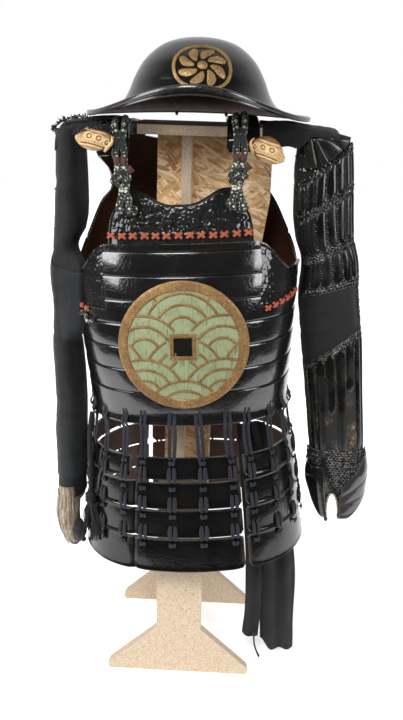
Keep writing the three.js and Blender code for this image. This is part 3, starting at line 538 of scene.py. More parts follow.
def iron_look(name):
    """Blackened iron rings, with a little bare metal and rust."""
    look = Look(name)
    patchy = look.ramp(look.noise(7, 3, 0.7), (0.35, 0.012), (0.65, 0.16))
    colour = look.blend(look.times(look.patches(14, 4, 0.7, 0.5, 0.75), 0.6), patchy, (0.14, 0.09, 0.06))
    look.put(color=colour, metal=0.9, rough=look.ramp(look.noise(6), (0.3, 0.3), (0.7, 0.55)))
    return look.bump(look.noise(1.5, 2), 0.08).material


def braid_look(name, dark=(0.005, 0.005, 0.011), light=(0.013, 0.013, 0.026), ribs=1.6):
    """Flat silk braid: herringbone ribs and a soft sheen."""
    look = Look(name)
    left, right = (look.waves(ribs, "X", 0.3, 1, look.space(turn=(0, angle, 0))) for angle in (38, -38))
    both = look.sum(left, right, "MAXIMUM")
    colour = look.blend(look.patches(8, 4, 0.7, 0.3, 0.7), dark, light)
    look.put(color=look.blend(both, dark, colour), rough=0.8, sheen=0.15, sheen_rough=0.4)
    return look.bump(both, 0.3).material


def mottled_look(name):
    """Round braid in white and dark green: small white lozenges scattered in rows over a dark ground."""
    look = Look(name, "UV")
    sockets = {"Vector": look.space((5, 185, 1)), "Scale": 1.0, "Randomness": 0.55}
    checks = look.node("ShaderNodeTexVoronoi", sockets, distance="MANHATTAN").outputs
    white = look.ramp(checks["Distance"], (0.52, 1.0), (0.62, 0.0))
    share = look.times(white, look.step(checks["Color"], 0.30, 0.34))
    look.put(color=look.blend(share, (0.0045, 0.006, 0.005), (0.5, 0.53, 0.43)), rough=0.85, sheen=0.2)
    return look.bump(checks["Distance"], -0.6).material


def particle_look(name):
    """Bare particle board: pale chips with small dark and light flecks."""
    look = Look(name)
    chips = look.cells(1.8, where=look.space((1, 1, 0.8)), output="Color")
    tone = look.node("ShaderNodeSeparateColor", {0: chips}).outputs[0]
    fleck = look.ramp(tone, (0.0, (0.34, 0.22, 0.13)), (0.07, (0.52, 0.39, 0.26)), (0.5, (0.58, 0.46, 0.33)),
                      (1.0, (0.68, 0.56, 0.42)))
    dust = look.times(look.patches(1.3, 3, 0.7, 0.3, 0.7), 0.35)
    look.put(color=look.blend(dust, fleck, (0.6, 0.48, 0.35)), rough=0.85)
    return look.bump(tone, 0.15).bump(look.noise(1.0, 2), 0.12).material


def strand_look(name):
    """Oriented strand board: long flat strands of golden wood, pressed across each other."""
    look = Look(name)
    colour = depth = None
    for turn, size, seed in ((62, 20, 0.0), (-52, 17, 0.2), (38, 18, 0.43), (80, 15, 0.7)):
        where = look.space((3.2, 1, 0.5), source=look.space(turn=(0, turn, 0)))
        moved = look.vector(where, "ADD", _1=(seed, seed, seed))
        sockets = {"Vector": moved, "Scale": 1000 / size, "Randomness": 0.9}
        cell = look.node("ShaderNodeTexVoronoi", sockets).outputs["Color"]
        tint = look.node("ShaderNodeSeparateColor", {0: cell}).outputs
        grain = look.noise(3, 4, 0.6, 0.3, look.space((1, 1, 0.1), source=moved))
        strand = look.ramp(look.sum(look.times(tint[0], 0.6), look.times(grain, 0.5)),
                           (0.14, (0.24, 0.1, 0.035)), (0.38, (0.5, 0.28, 0.11)),
                           (0.62, (0.68, 0.45, 0.23)), (0.9, (0.88, 0.72, 0.5)))
        if colour is None:
            colour, depth = strand, tint[1]
            continue
        over = look.step(look.sum(tint[1], depth, "SUBTRACT"), 0.0, 0.03)
        colour = look.blend(over, colour, strand)
        depth = look.sum(tint[1], depth, "MAXIMUM")
    look.put(color=colour, rough=0.6)
    return look.bump(depth, 0.5).bump(look.noise(2), 0.15).material


def felt_look(name):
    """Dark brown felt."""
    look = Look(name)
    fuzz = look.noise(1.4, 4, 0.8)
    look.put(color=look.blend(fuzz, (0.02, 0.012, 0.01), (0.06, 0.035, 0.03)), rough=1.0, sheen=0.5)
    return look.bump(fuzz, 0.5).material


def carved_look(name):
    """Carved wood, gilded once and rubbed back to a warm cream, dark brown in its cuts; the masks' UV also
    brings in painted shade, darker towards their tops.
    """
    look = Look(name)
    # The UV's first value holds both the depth of the carving and painted shade: it is lower towards the top
    # of each mask, as if shaded by the cloth above.
    cut_and_shade = look.node("ShaderNodeSeparateXYZ", {0: look.node("ShaderNodeTexCoord").outputs["UV"]}).outputs[0]
    tone = look.ramp(cut_and_shade, (0.18, (0.09, 0.035, 0.012)), (0.42, (0.36, 0.2, 0.085)), (0.5, (0.56, 0.37, 0.17)),
                     (0.8, (0.66, 0.47, 0.25)))
    worn = look.ramp(look.noise(7, 4, 0.7), (0.4, 0.0), (0.8, 0.5))
    colour = look.blend(worn, tone, look.blend(0.5, tone, (0.62, 0.42, 0.2)))
    look.put(color=colour, rough=0.45, metal=0.1, coat=0.12)
    return look.bump(look.noise(2.2), 0.25).material


def palm_look(name):
    """Pale lining of a hand guard: quilted up and down, browned and stained by handling."""
    look = Look(name)
    streak = look.step(look.noise(3.4, 3, 0.6, 0.3, look.space((1, 1, 0.14))), 0.42, 0.6)
    stain = look.patches(13, 5, 0.7, 0.45, 0.68)
    pale = look.blend(look.patches(1.2, 3, 0.7, 0.3, 0.7), (0.38, 0.31, 0.22), (0.62, 0.55, 0.43))
    colour = look.blend(look.times(streak, 0.8), pale, (0.17, 0.1, 0.05))
    look.put(color=look.blend(look.times(stain, 0.7), colour, (0.09, 0.055, 0.03)), rough=0.9, sheen=0.1)
    return look.bump(look.waves(1.2, "DIAGONAL", 0.5), 0.2).bump(streak, 0.5).material


def brocade_look(name):
    """Dark figured silk: ochre sprays on a brown-black ground, rubbed away in places."""
    look = Look(name)
    spray = look.ramp(look.cells(9, where=bent(look, 7, 4)), (0.2, 1.0), (0.34, 0.0))
    stem = look.line(look.noise(8, 3, 0.6, 1.5), 0.46, 0.5, 0.54)
    figure = look.times(look.sum(spray, stem, "MAXIMUM"), look.patches(46, 3, 0.6, 0.46, 0.6))
    look.put(color=look.blend(figure, (0.006, 0.005, 0.0045), (0.24, 0.165, 0.085)), rough=0.8, sheen=0.1)
    return look.bump(look.waves(0.9, "Z", 0.4), 0.15).bump(figure, 0.2).material


def twist_look(name):
    """Black laid cord: fine threads and a little dust."""
    look = Look(name)
    thread = look.noise(0.9, 3, 0.6, 0, look.space((1, 1, 0.3), (24, 0, 0)))
    look.put(color=look.blend(thread, (0.003, 0.003, 0.0035), (0.012, 0.011, 0.012)), rough=0.9, sheen=0.05)
    return look.bump(thread, 0.35).material


make_camera()

LACQUER = lacquer_look("lacquer")
RUBBED = lacquer_look("lacquer_rubbed", 0.5, 0.003, gloss=0.16)
HELMET = lacquer_look("helmet_lacquer", 0.25, 0.004, gloss=0.28)
INSIDE = inside_look("helmet_inside")
BROWN = brown_look("lacquer_brown")
LEATHER = leather_look("grained_leather")
GOLD = gold_look("gilding")
RIM_GOLD = gold_look("rim_gilding", (0.1, 0.045, 0.015), (0.52, 0.32, 0.12), 0.45, 0.45, 1.6)
PATINA = patina_look("green_ground")
CLOTH = cloth_look("hemp")
SILK = cloth_look("sash_cloth", (0.006, 0.0055, 0.006), (0.013, 0.012, 0.012), 0.8, 0.1)
LINING = cloth_look("hand_lining", (0.28, 0.2, 0.12), (0.42, 0.33, 0.22), 1.3, 0.1)
IRON = iron_look("blackened_iron")
BRAID = braid_look("navy_braid")
ORANGE = braid_look("orange_braid", (0.32, 0.06, 0.022), (0.52, 0.13, 0.06), 1.1)
RED = braid_look("dark_red_braid", (0.04, 0.012, 0.009), (0.1, 0.035, 0.028), 1.2)
WHITE = braid_look("white_cord", (0.35, 0.36, 0.33), (0.62, 0.64, 0.6), 1.1)
MOTTLED = mottled_look("mottled_braid")
PARTICLE = particle_look("particle_board")
STRAND = strand_look("strand_board")
FELT = felt_look("felt")
CARVED = carved_look("carved_gilt_wood")
SPLINT = lacquer_look("splint_lacquer", 0.3, 0.003, dull=True, gloss=0.2)
DARK_HEMP = cloth_look("sleeve_hemp", (0.003, 0.0028, 0.0026), (0.009, 0.0082, 0.0075), 1.3, 0.08)
BROCADE = brocade_look("brocade")
HAND_PLATE = lacquer_look("hand_plate", 0.8, 0.02)
PALM = palm_look("palm_lining")
PLUM = cloth_look("plum_cloth", (0.008, 0.006, 0.008), (0.03, 0.025, 0.027), 1.0, 0.1)
HEMP = cloth_look("forearm_hemp", (0.006, 0.007, 0.0085), (0.017, 0.019, 0.021), 1.3, 0.1)
BACKING = cloth_look("mail_backing", (0.003, 0.003, 0.003), (0.007, 0.0065, 0.006), 1.0, 0.02)
TWIST = twist_look("twisted_cord")

# ------------------------------------------------------------------ waist cord

WAIST = [(-160, -82, 490), (-163, -86, 460), (-163, -89, 425), (-162, -91, 385), (-162, -92, 342)]
WAIST_RADIUS = 4.5


def rope(path, radius, strands=3, pitch=13.0, around=24):
    """A laid cord: its section has a lobe for each strand, and turns along it."""
    made, count = tube(path, 1.0, around), len(path)
    angle = np.arange(around) / around * TURN
    lobes = np.abs(np.cos((angle[None, :] - distance(path)[:, None] / pitch * TURN) * strands / 2)) ** 0.6
    size = radius * (0.8 + 0.2 * lobes)
    ring = made.verts[:count * around].reshape(count, around, 3)
    ring = path[:, None] + (ring - path[:, None]) * size[..., None]
    made.verts[:count * around] = ring.reshape(-1, 3)
    return made


def tassel(points, radius, seed, steps=20, threads=46):
    """Loose threads, bound at the top."""
    path = curve(points, steps)
    pick = np.random.default_rng(seed)
    _, a, b = frames(path)
    t = np.linspace(0, 1, steps)
    spread = (0.55 + 0.45 * smooth(0, 0.3, t) + 0.25 * t)[:, None]
    made = [tube(path[:4], radius * 0.75, 12)]
    for _ in range(threads):
        angle, far = pick.uniform(0, TURN), radius * math.sqrt(pick.uniform(0, 1)) * 0.85
        stop = pick.integers(15, steps)
        sway = pick.normal(0, 1, 2)
        off = a * (far * math.cos(angle) + sway[0] * np.sin(t * 5 + angle))[:, None]
        off = off + b * (far * math.sin(angle) + sway[1] * np.sin(t * 4 + angle))[:, None]
        made.append(tube((path + off * spread)[:stop], 0.95, 5))
    return together(made)


def build_waist_cord():
    path = curve(WAIST, 130)
    cord = piece("waist_tie", rope(path, WAIST_RADIUS), TWIST, ["waist_cord"], crease=80)
    k = np.linspace(0, 18, 40)
    turns = np.stack([-162 + 7 * np.cos(k), -92 + 6 * np.sin(k), 334 + (k - 9) * 0.9], -1)
    knot = [tube(curve(turns, 80), 3.2, 9), ball((-162, -92, 334), (7.5, 7.0, 10.5)),
            tassel([(-163, -92, 328), (-167, -92, 306), (-168, -92, 268)], 6.2, 3),
            tassel([(-161, -96, 328), (-152, -109, 304), (-144, -119, 262)], 6.2, 4)]
    ends = piece("waist_tie_tassels", together(knot), TWIST, crease=80)
    length = np.linalg.norm(np.diff(path, axis=0), axis=1).sum() / 1000


build_waist_cord()

# ------------------------------------------------------------------ stand

for node, look in (("stand_front_panel", PARTICLE), ("stand_rear_panel", PARTICLE), ("stand_rib", PARTICLE),
                   ("stand_torso_board", STRAND), ("stand_shelf", PARTICLE), ("stand_shelf_felt", FELT)):
    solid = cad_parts[node]
    solid.data.materials.clear()
    solid.data.materials.append(look)

# ------------------------------------------------------------------ helmet

HELMET_X, HELMET_DEEP, FRONT_LIFT, REAR_LIFT = 5, 1.03, 41, 6
# the bowl's section: radius, height
PROFILE = np.array([(0, 1101.5), (32, 1098.5), (62, 1088), (88, 1066), (104, 1040), (114, 1016), (124, 1000),
                    (142, 990), (164, 984.5), (182, 982)], float)
PROFILE_STEPS = 200
fine_profile = curve(np.insert(PROFILE, 1, 0, axis=1), PROFILE_STEPS)[:, [0, 2]]
PROFILE_LENGTH = np.linalg.norm(np.diff(fine_profile, axis=0), axis=1).sum()
RIM_RADIUS = 182
# where the crest's middle sits on the bowl, and how far the crest is stretched
CREST_S, CREST_TURN, CREST_WIDE, CREST_TALL = 0.53, 0.08, 1.09, 1.2


def helmet(u, s):
    """The bowl's outer face: u is the angle from the front, s runs from crown to rim."""
    at, steps = np.clip(s, 0, 1) * (PROFILE_STEPS - 1), np.arange(PROFILE_STEPS)
    r, z = (np.interp(at, steps, fine_profile[:, k]) for k in (0, 1))
    ahead, behind = np.maximum(0, np.cos(u)) ** 4.2, np.maximum(0, -np.cos(u)) ** 2
    lift = (FRONT_LIFT * ahead + REAR_LIFT * behind) * smooth(60, RIM_RADIUS, r)
    return np.stack([HELMET_X + r * np.sin(u), -r * HELMET_DEEP * np.cos(u), z + lift], -1)


def build_helmet():
    u = circle(120)[:, None]
    s = np.concatenate([np.linspace(0.012, 0.74, 30), np.linspace(0.75, 0.995, 40)])[None, :]
    points = helmet(*np.broadcast_arrays(u, s))
    bead = np.exp(-((s - 0.775) / 0.008) ** 2) * 1.6 * smooth(-0.2, 0.4, np.cos(u))
    second = np.exp(-((s - 0.925) / 0.010) ** 2) * 2.0
    rim = 3.2 * smooth(0.955, 0.972, s) * (1 - 0.5 * smooth(0.985, 0.995, s))
    dents = noise(points, 60, 3, 2) * 0.5
    shell = wall(points, bead + second + rim + dents, -3 - rim * 0.6, wrap=True, flip=True)
    crown = helmet(u[:, 0], np.full(120, 0.012)).mean(0) - (0, 0, 1.6)
    bowl = together([shell, ball(crown, (6, 6, 2.2), 24)])
    piece("bowl", bowl, [HELMET, INSIDE], ["helmet_bowl"], crease=60)
    a, v = across(-88, 88, 120) * RAD, upward(0, 1, 14)
    drop = 11 * np.cos(a) ** 3 * v
    edge = helmet(*np.broadcast_arrays(a, 0.992 - 0.012 * v))
    edge = edge - np.stack([0 * drop, -0.25 * drop, drop + 0.5], -1)
    roll = 1.8 + 1.6 * np.sin(v * TURN) ** 2 * (v > 0.5)
    piece("bowl_lip", wall(edge, roll, -0.8, flip=True), HELMET, crease=60)
    ties = [ball(helmet(np.array(a), np.array(0.97)) - (0, 6, 6), (3, 3, 4), 12) for a in (2.9, 3.42)]
    piece("bowl_tie_knots", together(ties), BRAID)


def fan(outline, place, low, top, rings=5, dome=0.0):
    """A thin raised patch: rings shrink from its outline to its middle, laid on a surface by place."""
    outline = np.asarray(outline, float)
    middle, count = outline.mean(0), len(outline)
    shares = np.linspace(1, 0.02, rings)
    grid = middle + (outline[:, None] - middle) * shares[None, :, None]
    rise = np.where(shares > 0.999, top - 0.25, top + dome * (1 - shares ** 2))
    upper = place(grid[..., 0], grid[..., 1], np.broadcast_to(rise, grid.shape[:2]))
    under = place(outline[:, 0], outline[:, 1], np.full(count, low))
    tip, bottom = (place(middle[:1], middle[1:2], np.array([lift])) for lift in (rise[-1], low))
    verts = np.concatenate([upper.reshape(-1, 3), under, tip, bottom])
    k, base = np.arange(count), count * rings
    after, centre = (k + 1) % count, 0 * k + base + count
    side = np.stack([k * rings, base + k, base + after, after * rings], -1)
    cap = np.stack([k * rings + rings - 1, after * rings + rings - 1, centre, centre], -1)
    floor = np.stack([base + after, base + k, centre + 1, centre + 1], -1)
    return Shape(verts, np.concatenate([quads(count, rings, True), side, cap, floor])[:, ::-1])


def ring_band(inner, outer, place, low, top, count=72, rows=4):
    """A flat ring on a surface."""
    a, r = circle(count)[:, None], upward(inner, outer, rows)
    arch = np.sin(upward(0, math.pi, rows)) * 0.4
    x, y = r * np.sin(a), r * np.cos(a)
    skins = [place(x, y, np.broadcast_to(lift, x.shape)) for lift in (top + arch, float(low))]
    skin = quads(count, rows, True)
    return Shape(skins, np.concatenate([skin[:, ::-1], skin + count * rows, *ring_borders(count, rows)]))


def on_helmet(x, up, lift):
    """A point of the bowl's front, from mm across and up from the crest's middle."""
    s = CREST_S - up * CREST_TALL / PROFILE_LENGTH
    r = np.interp(s * (PROFILE_STEPS - 1), np.arange(PROFILE_STEPS), fine_profile[:, 0])
    return stand_off(lambda s, u: helmet(u, s), s, CREST_TURN + x * CREST_WIDE / r, lift)


def build_crest():
    """A generic rosette: a gilt ring round eight curved petals and a boss."""
    parts = [ring_band(37.5, 42, on_helmet, 0.4, 2.3)]
    t = circle(28)
    along = 22.5 - 12.0 * np.cos(t)
    wide = 7.6 * np.sin(t) * (0.62 + 0.38 * smooth(10, 30, along))
    for k in range(8):
        swirl = k / 8 * TURN + (along - 10) * 0.018
        petal = [along * np.sin(swirl) + wide * np.cos(swirl), along * np.cos(swirl) - wide * np.sin(swirl)]
        parts.append(fan(np.stack(petal, -1), on_helmet, 0.4, 1.9, 4, 0.8))
    t = circle(24)
    parts.append(fan(np.stack([7 * np.sin(t), 7 * np.cos(t)], -1), on_helmet, 0.4, 2.2, 4, 1.6))
    piece("crest", together(parts), GOLD, ["helmet_crest"])


build_helmet()
build_crest()

# ------------------------------------------------------------------ cuirass

SQUARE = 0.2
BODY = table((490, 169, 137, 124), (553, 174, 145, 131), (628, 181, 146, 137), (700, 187, 137, 140),
             (745, 190, 127, 139), (800, 187, 115, 133), (850, 178, 107, 121), (900, 165, 100, 107),
             (955, 152, 92, 96), names=("half", "front", "back"))
SKIRT = table((240, 196, 166, 168), (340, 187, 155, 158), (440, 176, 144, 146), (497, 169, 138, 126),
              names=("half", "front", "back"))
BREAST = table((790, 114), (826, 110), (850, 99), (872, 86), names=("half",))
BACK = table((738, 190), (790, 172), (841, 149), (860, 133), (892, 133), (921, 147), (950, 139),
             names=("half",))
LINES = [497] + [553 + 37.5 * k for k in range(7)]
SEAM, SIDE_LINE, PLATE_TOP, BREAST_FOOT, BACK_TOP = 41, 690, 789.7, 790, 950


def body(rows, phi, z):
    """A point of the body: phi is the angle from the front."""
    phi, z = np.broadcast_arrays(phi, z)
    depth = np.where(np.cos(phi) >= 0, follow(rows, "front", z), follow(rows, "back", z))
    deep = depth * np.cos(phi) * (1 + SQUARE * np.sin(phi) ** 2)
    return np.stack([follow(rows, "half", z) * np.sin(phi), -deep, z.astype(float)], -1)


def lame_levels(top, fine=9):
    """Heights for a grid, close together at each lame's edges."""
    levels = []
    for a, b in zip(LINES, LINES[1:] + [PLATE_TOP + 20]):
        b = min(b, top)
        if b - a > 1:
            levels += [a, a + 0.7, a + 1.8, *np.linspace(a + 4, b - 3, fine), b - 1.6, b - 0.5]
    return np.array(levels + [top])


def lame_rise(z):
    """Each lame bellies a little and its upper edge stands over the one above."""
    lines = np.array(LINES + [PLATE_TOP + 20])
    i = np.clip(np.searchsorted(lines, z + 1e-6, side="right") - 1, 0, len(lines) - 2)
    low, high = lines[i], lines[i + 1]
    t = np.clip((z - low) / (high - low), 0, 1)
    groove = np.exp(-((z - low) / 0.9) ** 2) * 0.9 * (i > 0) + np.exp(-((high - z) / 0.9) ** 2) * 0.8
    return 1.2 + 1.3 * t ** 0.8 + 0.7 * np.sin(t * math.pi) - groove


def hem_flare(z):
    """The lowest lame turns out at its foot."""
    return 4.5 * smooth(512, 497, z)


def build_front():
    side = 92 * RAD
    u, z = across(-side, side, 161), lame_levels(PLATE_TOP)[None, :]
    points = body(BODY, u, z)
    flare = hem_flare(z)
    out = lame_rise(z) + noise(points, 45, 5, 2) * 0.6 + flare
    kept = ((z[:, :-1] + z[:, 1:]) / 2 < SIDE_LINE) | (np.abs((u[:-1] + u[1:]) / 2) < SEAM * RAD)
    front = wall(points, out, -1.2 + flare * 0.8, keep=kept)
    piece("front_lames", front, [LACQUER, BROWN], ["cuirass_front_plate"], leaned=True)


def build_sides():
    start, foot = (SEAM + 0.4) * RAD, SIDE_LINE + 0.3
    u, v = across(start, 92 * RAD, 96), upward(0, 1, 66)
    z = foot + (742 + 46 * (1 - smooth(start - 0.02, start + 0.42, u)) - foot) * v
    edge = 1.6 * smooth(0.93, 0.97, v)
    for name, hand in (("left", -1), ("right", 1)):
        points = body(BODY, hand * u, z)
        relief = np.abs(noise(points, 5, 21, 2)) * 1.1
        shape = wall(points, 1.9 + relief + edge, -1.2 - 0.5 * edge, flip=hand < 0)
        piece(f"side_plate_{name}", shape, LEATHER, [f"cuirass_side_plate_{name}"], leaned=True)


def build_breast():
    u, v = across(-1, 1, 190), upward(0, 1, 76)
    z = BREAST_FOOT + (850 + 24 * smooth(0.1, 0.86, np.abs(u)) - BREAST_FOOT) * v
    points = body(BODY, np.arcsin(u * follow(BREAST, "half", z) / follow(BODY, "half", z)), z)
    rim = 2.0 * np.maximum(smooth(0.93, 0.97, v), smooth(0.965, 0.985, np.abs(u)))
    swirl = 0.9 * np.abs(noise(points, 11, 31, 2)) + 0.9 * np.abs(noise(points, 5.2, 37, 2))
    field = (1 - smooth(0.88, 0.94, v)) * (1 - smooth(0.94, 0.97, np.abs(u))) * smooth(0.17, 0.24, v)
    shape = wall(points, 2.0 + 1.7 * swirl * field + rim, -1.5 - rim * 0.4)
    piece("breast_plate", shape, [LEATHER, BROWN], ["cuirass_breast_plate"], leaned=True)


def build_back():
    u = across(-1, 1, 111)
    z = np.concatenate([lame_levels(778, 6), np.linspace(784, BACK_TOP, 26)])[None, :]
    reach = np.arcsin(np.minimum(1, follow(BACK, "half", z) / follow(BODY, "half", z)))
    edge = BACK_TOP - 10 * (1 - smooth(0.12, 0.5, np.abs(u)))
    height = z + (edge - BACK_TOP) * smooth(892, BACK_TOP, z)
    points = body(BODY, math.pi - u * np.minimum(87 * RAD, reach), height)
    rim = 1.8 * np.maximum(smooth(944, 947, z), smooth(0.97, 0.985, np.abs(u)) * smooth(735, 760, z))
    out = np.where(z > 778, 2.4, lame_rise(z)) + noise(points, 45, 9, 2) * 0.5 + rim + hem_flare(z)
    shape = wall(points, out, -1.2, flip=True)
    piece("back_lames", shape, [LACQUER, BROWN], ["cuirass_back_plate"], leaned=True)


STRAP = [(91, 109, 889), (92, 104, 925), (93, 98, 947), (94, 84, 965), (95, 44, 975), (98, -10, 976.5),
         (100, -50, 975.5), (101, -76, 966), (101, -90, 946), (101, -93, 926)]


def build_straps():
    count, wide = 90, 26
    path = curve(STRAP, count)
    along = unit(np.gradient(path, axis=0))
    up = unit(np.stack([0 * along[:, 0], along[:, 2], -along[:, 1]], -1))[:, None, :]
    t, side = across(0, 1, count), upward(-1, 1, wide)
    half = (23 + 3 * smooth(0.7, 1, t)) * (1 - 0.12 * smooth(0.97, 1, t))
    belly = 1 - 0.55 * np.abs(side) ** 3
    for name, hand in (("left", -1), ("right", 1)):
        base = np.stack(np.broadcast_arrays(hand * path[:, :1] + half * side, path[:, 1:2], path[:, 2:]), -1)
        relief = noise(base, 8, 41, 2) * 0.5 * (np.abs(side) < 0.86)
        skins = [base + up * (3.5 * belly + relief)[..., None], base - up * (3.3 * belly)[..., None]]
        skin = quads(count, wide)
        shape = Shape(skins, np.concatenate([skin[:, ::-1], skin + count * wide, borders(count, wide)]))
        piece(f"strap_{name}", shape, LEATHER, [f"cuirass_strap_{name}"], leaned=True)


DISC_R, DISC_X, DISC_Z, DISC_FOOT, DISC_FACE = 102.5, 1, 632, 3.9, 6.1
HOLE_FRAME, HOLE = 20.5, 14.0   # half sizes of the square hole and of the raised frame round it


def torso(phi, z):
    return body(BODY, phi, z)


def on_body(x, up, lift):
    """A point of the cuirass's front, from mm across and height; lift stands it off."""
    x, z, lift = floats(x, up, lift)
    return stand_off(torso, np.arcsin(np.clip(x / follow(BODY, "half", z), -0.999, 0.999)), z, lift)


def on_disc(x, up, lift):
    return on_body(DISC_X + np.asarray(x), DISC_Z + np.asarray(up), lift)


def arc_strip(points, width, low, top, place):
    """A raised line along points on a surface."""
    along = unit(np.gradient(points, axis=0))
    side = np.stack([-along[:, 1], along[:, 0]], -1)
    shares = np.array([-1, -0.75, -0.3, 0.3, 0.75, 1]) * width / 2
    rise = np.array([low, top - 0.35, top, top, top - 0.35, low])
    grid = points[:, None] + side[:, None] * shares[None, :, None]
    verts = place(grid[..., 0], grid[..., 1], np.broadcast_to(rise, grid.shape[:2]))
    k, e = np.arange(len(points) - 1) * 6, (len(points) - 1) * 6
    under = np.stack([k + 5, k + 11, k + 6, k], -1)
    caps = [[0, 5, 4, 1], [1, 4, 3, 2], [e, e + 1, e + 4, e + 5], [e + 1, e + 2, e + 3, e + 4]]
    return Shape(verts, np.concatenate([quads(len(points), 6), under, caps]))


def seigaiha(size=62.0):
    """Waves in rows: sets of concentric arcs, each row half hidden by the row below."""
    made, t = [], np.linspace(0, math.pi, 90)
    centres = [((i + 0.5 * (row % 2)) * size * 1.96, 92 - row * size * 0.56)
               for row in range(7) for i in range(-3, 4)]
    for cx, cz in centres:
        below = [c for c in centres if c[1] < cz - 1 and cz - c[1] < size * 1.2]
        for r in (size - 1.5, size * 0.7, size * 0.4):
            line = np.stack([cx + r * np.cos(t), cz + r * np.sin(t)], -1)
            shown = np.hypot(line[:, 0], line[:, 1]) < DISC_R - 15
            shown &= np.abs(line).max(1) > 24
            for bx, bz in below:
                shown &= (np.hypot(line[:, 0] - bx, line[:, 1] - bz) >= size - 0.2) | (line[:, 1] <= bz)
            for run in np.split(np.arange(len(line)), np.where(~shown)[0]):
                run = run[shown[run]]
                if len(run) > 4:
                    made.append(arc_strip(line[run], 4.2, 6.2, 7.6, on_disc))
    return made


def build_disc():
    count, rim_at = 120, DISC_R - 16
    a = circle(count)[:, None]
    r = [*np.linspace(1.0, rim_at - 0.5, 26), *np.linspace(rim_at + 0.4, DISC_R - 1.5, 9), DISC_R]
    r = np.array(r)
    x, y, rows = r * np.sin(a), r * np.cos(a), len(r)
    rim = 1.6 * smooth(rim_at, DISC_R - 14, r) - 0.9 * smooth(DISC_R - 3, DISC_R, r)
    dents = noise(np.stack([x, y, 0 * x], -1), 20, 51, 2) * 0.25
    over, under = on_disc(x, y, DISC_FACE + rim + dents), on_disc(x, y, DISC_FOOT)
    middles = [on_disc([0.0], [0.0], [lift]) for lift in (DISC_FACE, DISC_FOOT)]
    verts = np.concatenate([over.reshape(-1, 3), under.reshape(-1, 3)] + middles)
    size, skin, k = count * rows, quads(count, rows, True), np.arange(count) * rows
    after, centre = np.roll(k, -1), 0 * k + 2 * size
    caps = [np.stack([k, after, centre, centre], -1),
            np.stack([after + size, k + size, centre + 1, centre + 1], -1)]
    faces = [skin[:, ::-1], skin + size, ring_borders(count, rows)[1]] + caps
    gilt = np.tile((r[:-1] > rim_at - 0.2).astype(int), count)
    kinds = np.concatenate([gilt, np.repeat([1, 1, 0, 1], [len(skin), count, count, count])])
    piece("disc", Shape(verts, np.concatenate(faces), kinds), [PATINA, RIM_GOLD], ["cuirass_disc"],
          leaned=True)
    square = np.array([(-1, -1), (1, -1), (1, 1), (-1, 1)])
    middle, half, sides = (HOLE_FRAME + HOLE) / 2, (HOLE_FRAME - HOLE) / 2, []
    for a, b in zip(square * middle, np.roll(square, -1, 0) * middle):
        run = (b - a) / np.linalg.norm(b - a) * half
        sides.append(arc_strip(np.linspace(a - run, b + run, 12), half * 2, 6.2, 8.4, on_disc))
    piece("disc_waves", together(seigaiha() + sides), RIM_GOLD, leaned=True)
    floor = square * (HOLE + 0.5)
    outline = np.concatenate([np.linspace(a, b, 8)[:-1] for a, b in zip(floor, np.roll(floor, -1, 0))])
    piece("disc_middle", fan(outline, on_disc, 6.0, 6.9, 4), LACQUER, leaned=True)


build_front()
build_sides()
build_breast()
build_back()
build_straps()
build_disc()

# ------------------------------------------------------------------ skirt

PANELS = ["front", "front_right", "back_right", "back", "back_left", "front_left"]
LAMES = [(440, 404), (396, 353), (348, 303), (298, 242)]
PANEL_HALF = (30 - 1.3) * RAD
PAIRS = (-0.84, -0.28, 0.28, 0.84)
SKIRT_RADIUS, SIDE_RADIUS = 165, 160   # turn mm across into an angle on the skirt and on the cuirass's side


def skirt_lame(middle, top, bottom, seed, reach=0.0):
    """One lame: bowed down, standing out at its lower edge, with turned edges and rounded corners."""
    u = across(-1, 1, 41)
    v = np.concatenate([[0, 0.015, 0.04, 0.08], np.linspace(0.14, 0.9, 9), [0.95, 0.98, 1]])[None, :]
    corner = 1 - np.sqrt(np.clip(1 - ((np.abs(u) - 0.93) / 0.07).clip(0, 1) ** 2, 0, 1))
    foot = bottom - 1.5 * (1 - smooth(0.75, 1, np.abs(u))) + 7 * corner
    z = foot + (top - 2.5 * corner - foot) * v
    points = body(SKIRT, middle + reach / 2 + u * (PANEL_HALF + reach / 2), z)
    hang = 2.0 * (1 - v) - 3.4 * smooth(0.84, 0.93, u) * (reach > 0)
    roll = 1.2 * np.exp(-(v / 0.05) ** 2) + 0.7 * np.exp(-((1 - v) / 0.04) ** 2)
    wave = noise(points, 50, seed, 2) * 0.9
    return wall(points, 1.6 + hang + roll + 0.9 * np.sin(v * math.pi) + wave, -1.6 + hang + 0.4 * wave)


# the skirt's form, with the cuirass's above it
LACED = {column: np.concatenate([SKIRT[column], BODY[column][2:4]]) for column in SKIRT}


def on_skirt(middle):
    """Places mm across from a panel's middle line, and height, on the skirt."""
    def place(x, up, lift):
        x, z, lift = floats(x, up, lift)
        return stand_off(lambda turn, height: body(LACED, turn, height), middle + x / SKIRT_RADIUS, z, lift)
    return place


def ribbon(place, path, width, thick, half_around=6):
    """A flat braid whose middle follows (x, height, lift) points over a surface."""
    count, around = len(path), half_around * 2
    along = unit(np.gradient(path[:, :2], axis=0))
    side = np.stack([-along[:, 1], along[:, 0]], -1)
    angle = np.arange(around) / around * TURN
    a = np.sign(np.cos(angle)) * np.abs(np.cos(angle)) ** 0.7 * np.broadcast_to(width, count)[:, None] / 2
    b = np.sin(angle)[None, :] * thick / 2
    x, y = (path[:, None, k] + side[:, None, k] * a for k in (0, 1))
    verts = place(x, y, path[:, None, 2] + b).reshape(-1, 3)
    k, last = np.arange(1, around - 1), (count - 1) * around
    sides = hoops(count, around)[:, ::-1]
    turned = np.cross(verts[1] - verts[0], verts[around] - verts[0]) @ (verts[0] - verts[half_around]) > 0
    first, second = (k + 1, k) if turned else (k, k + 1)
    caps = [np.stack([0 * k, first, second, second], -1), np.stack([0 * k, second, first, first], -1) + last]
    return Shape(verts, np.concatenate([sides[:, ::-1] if turned else sides] + caps))


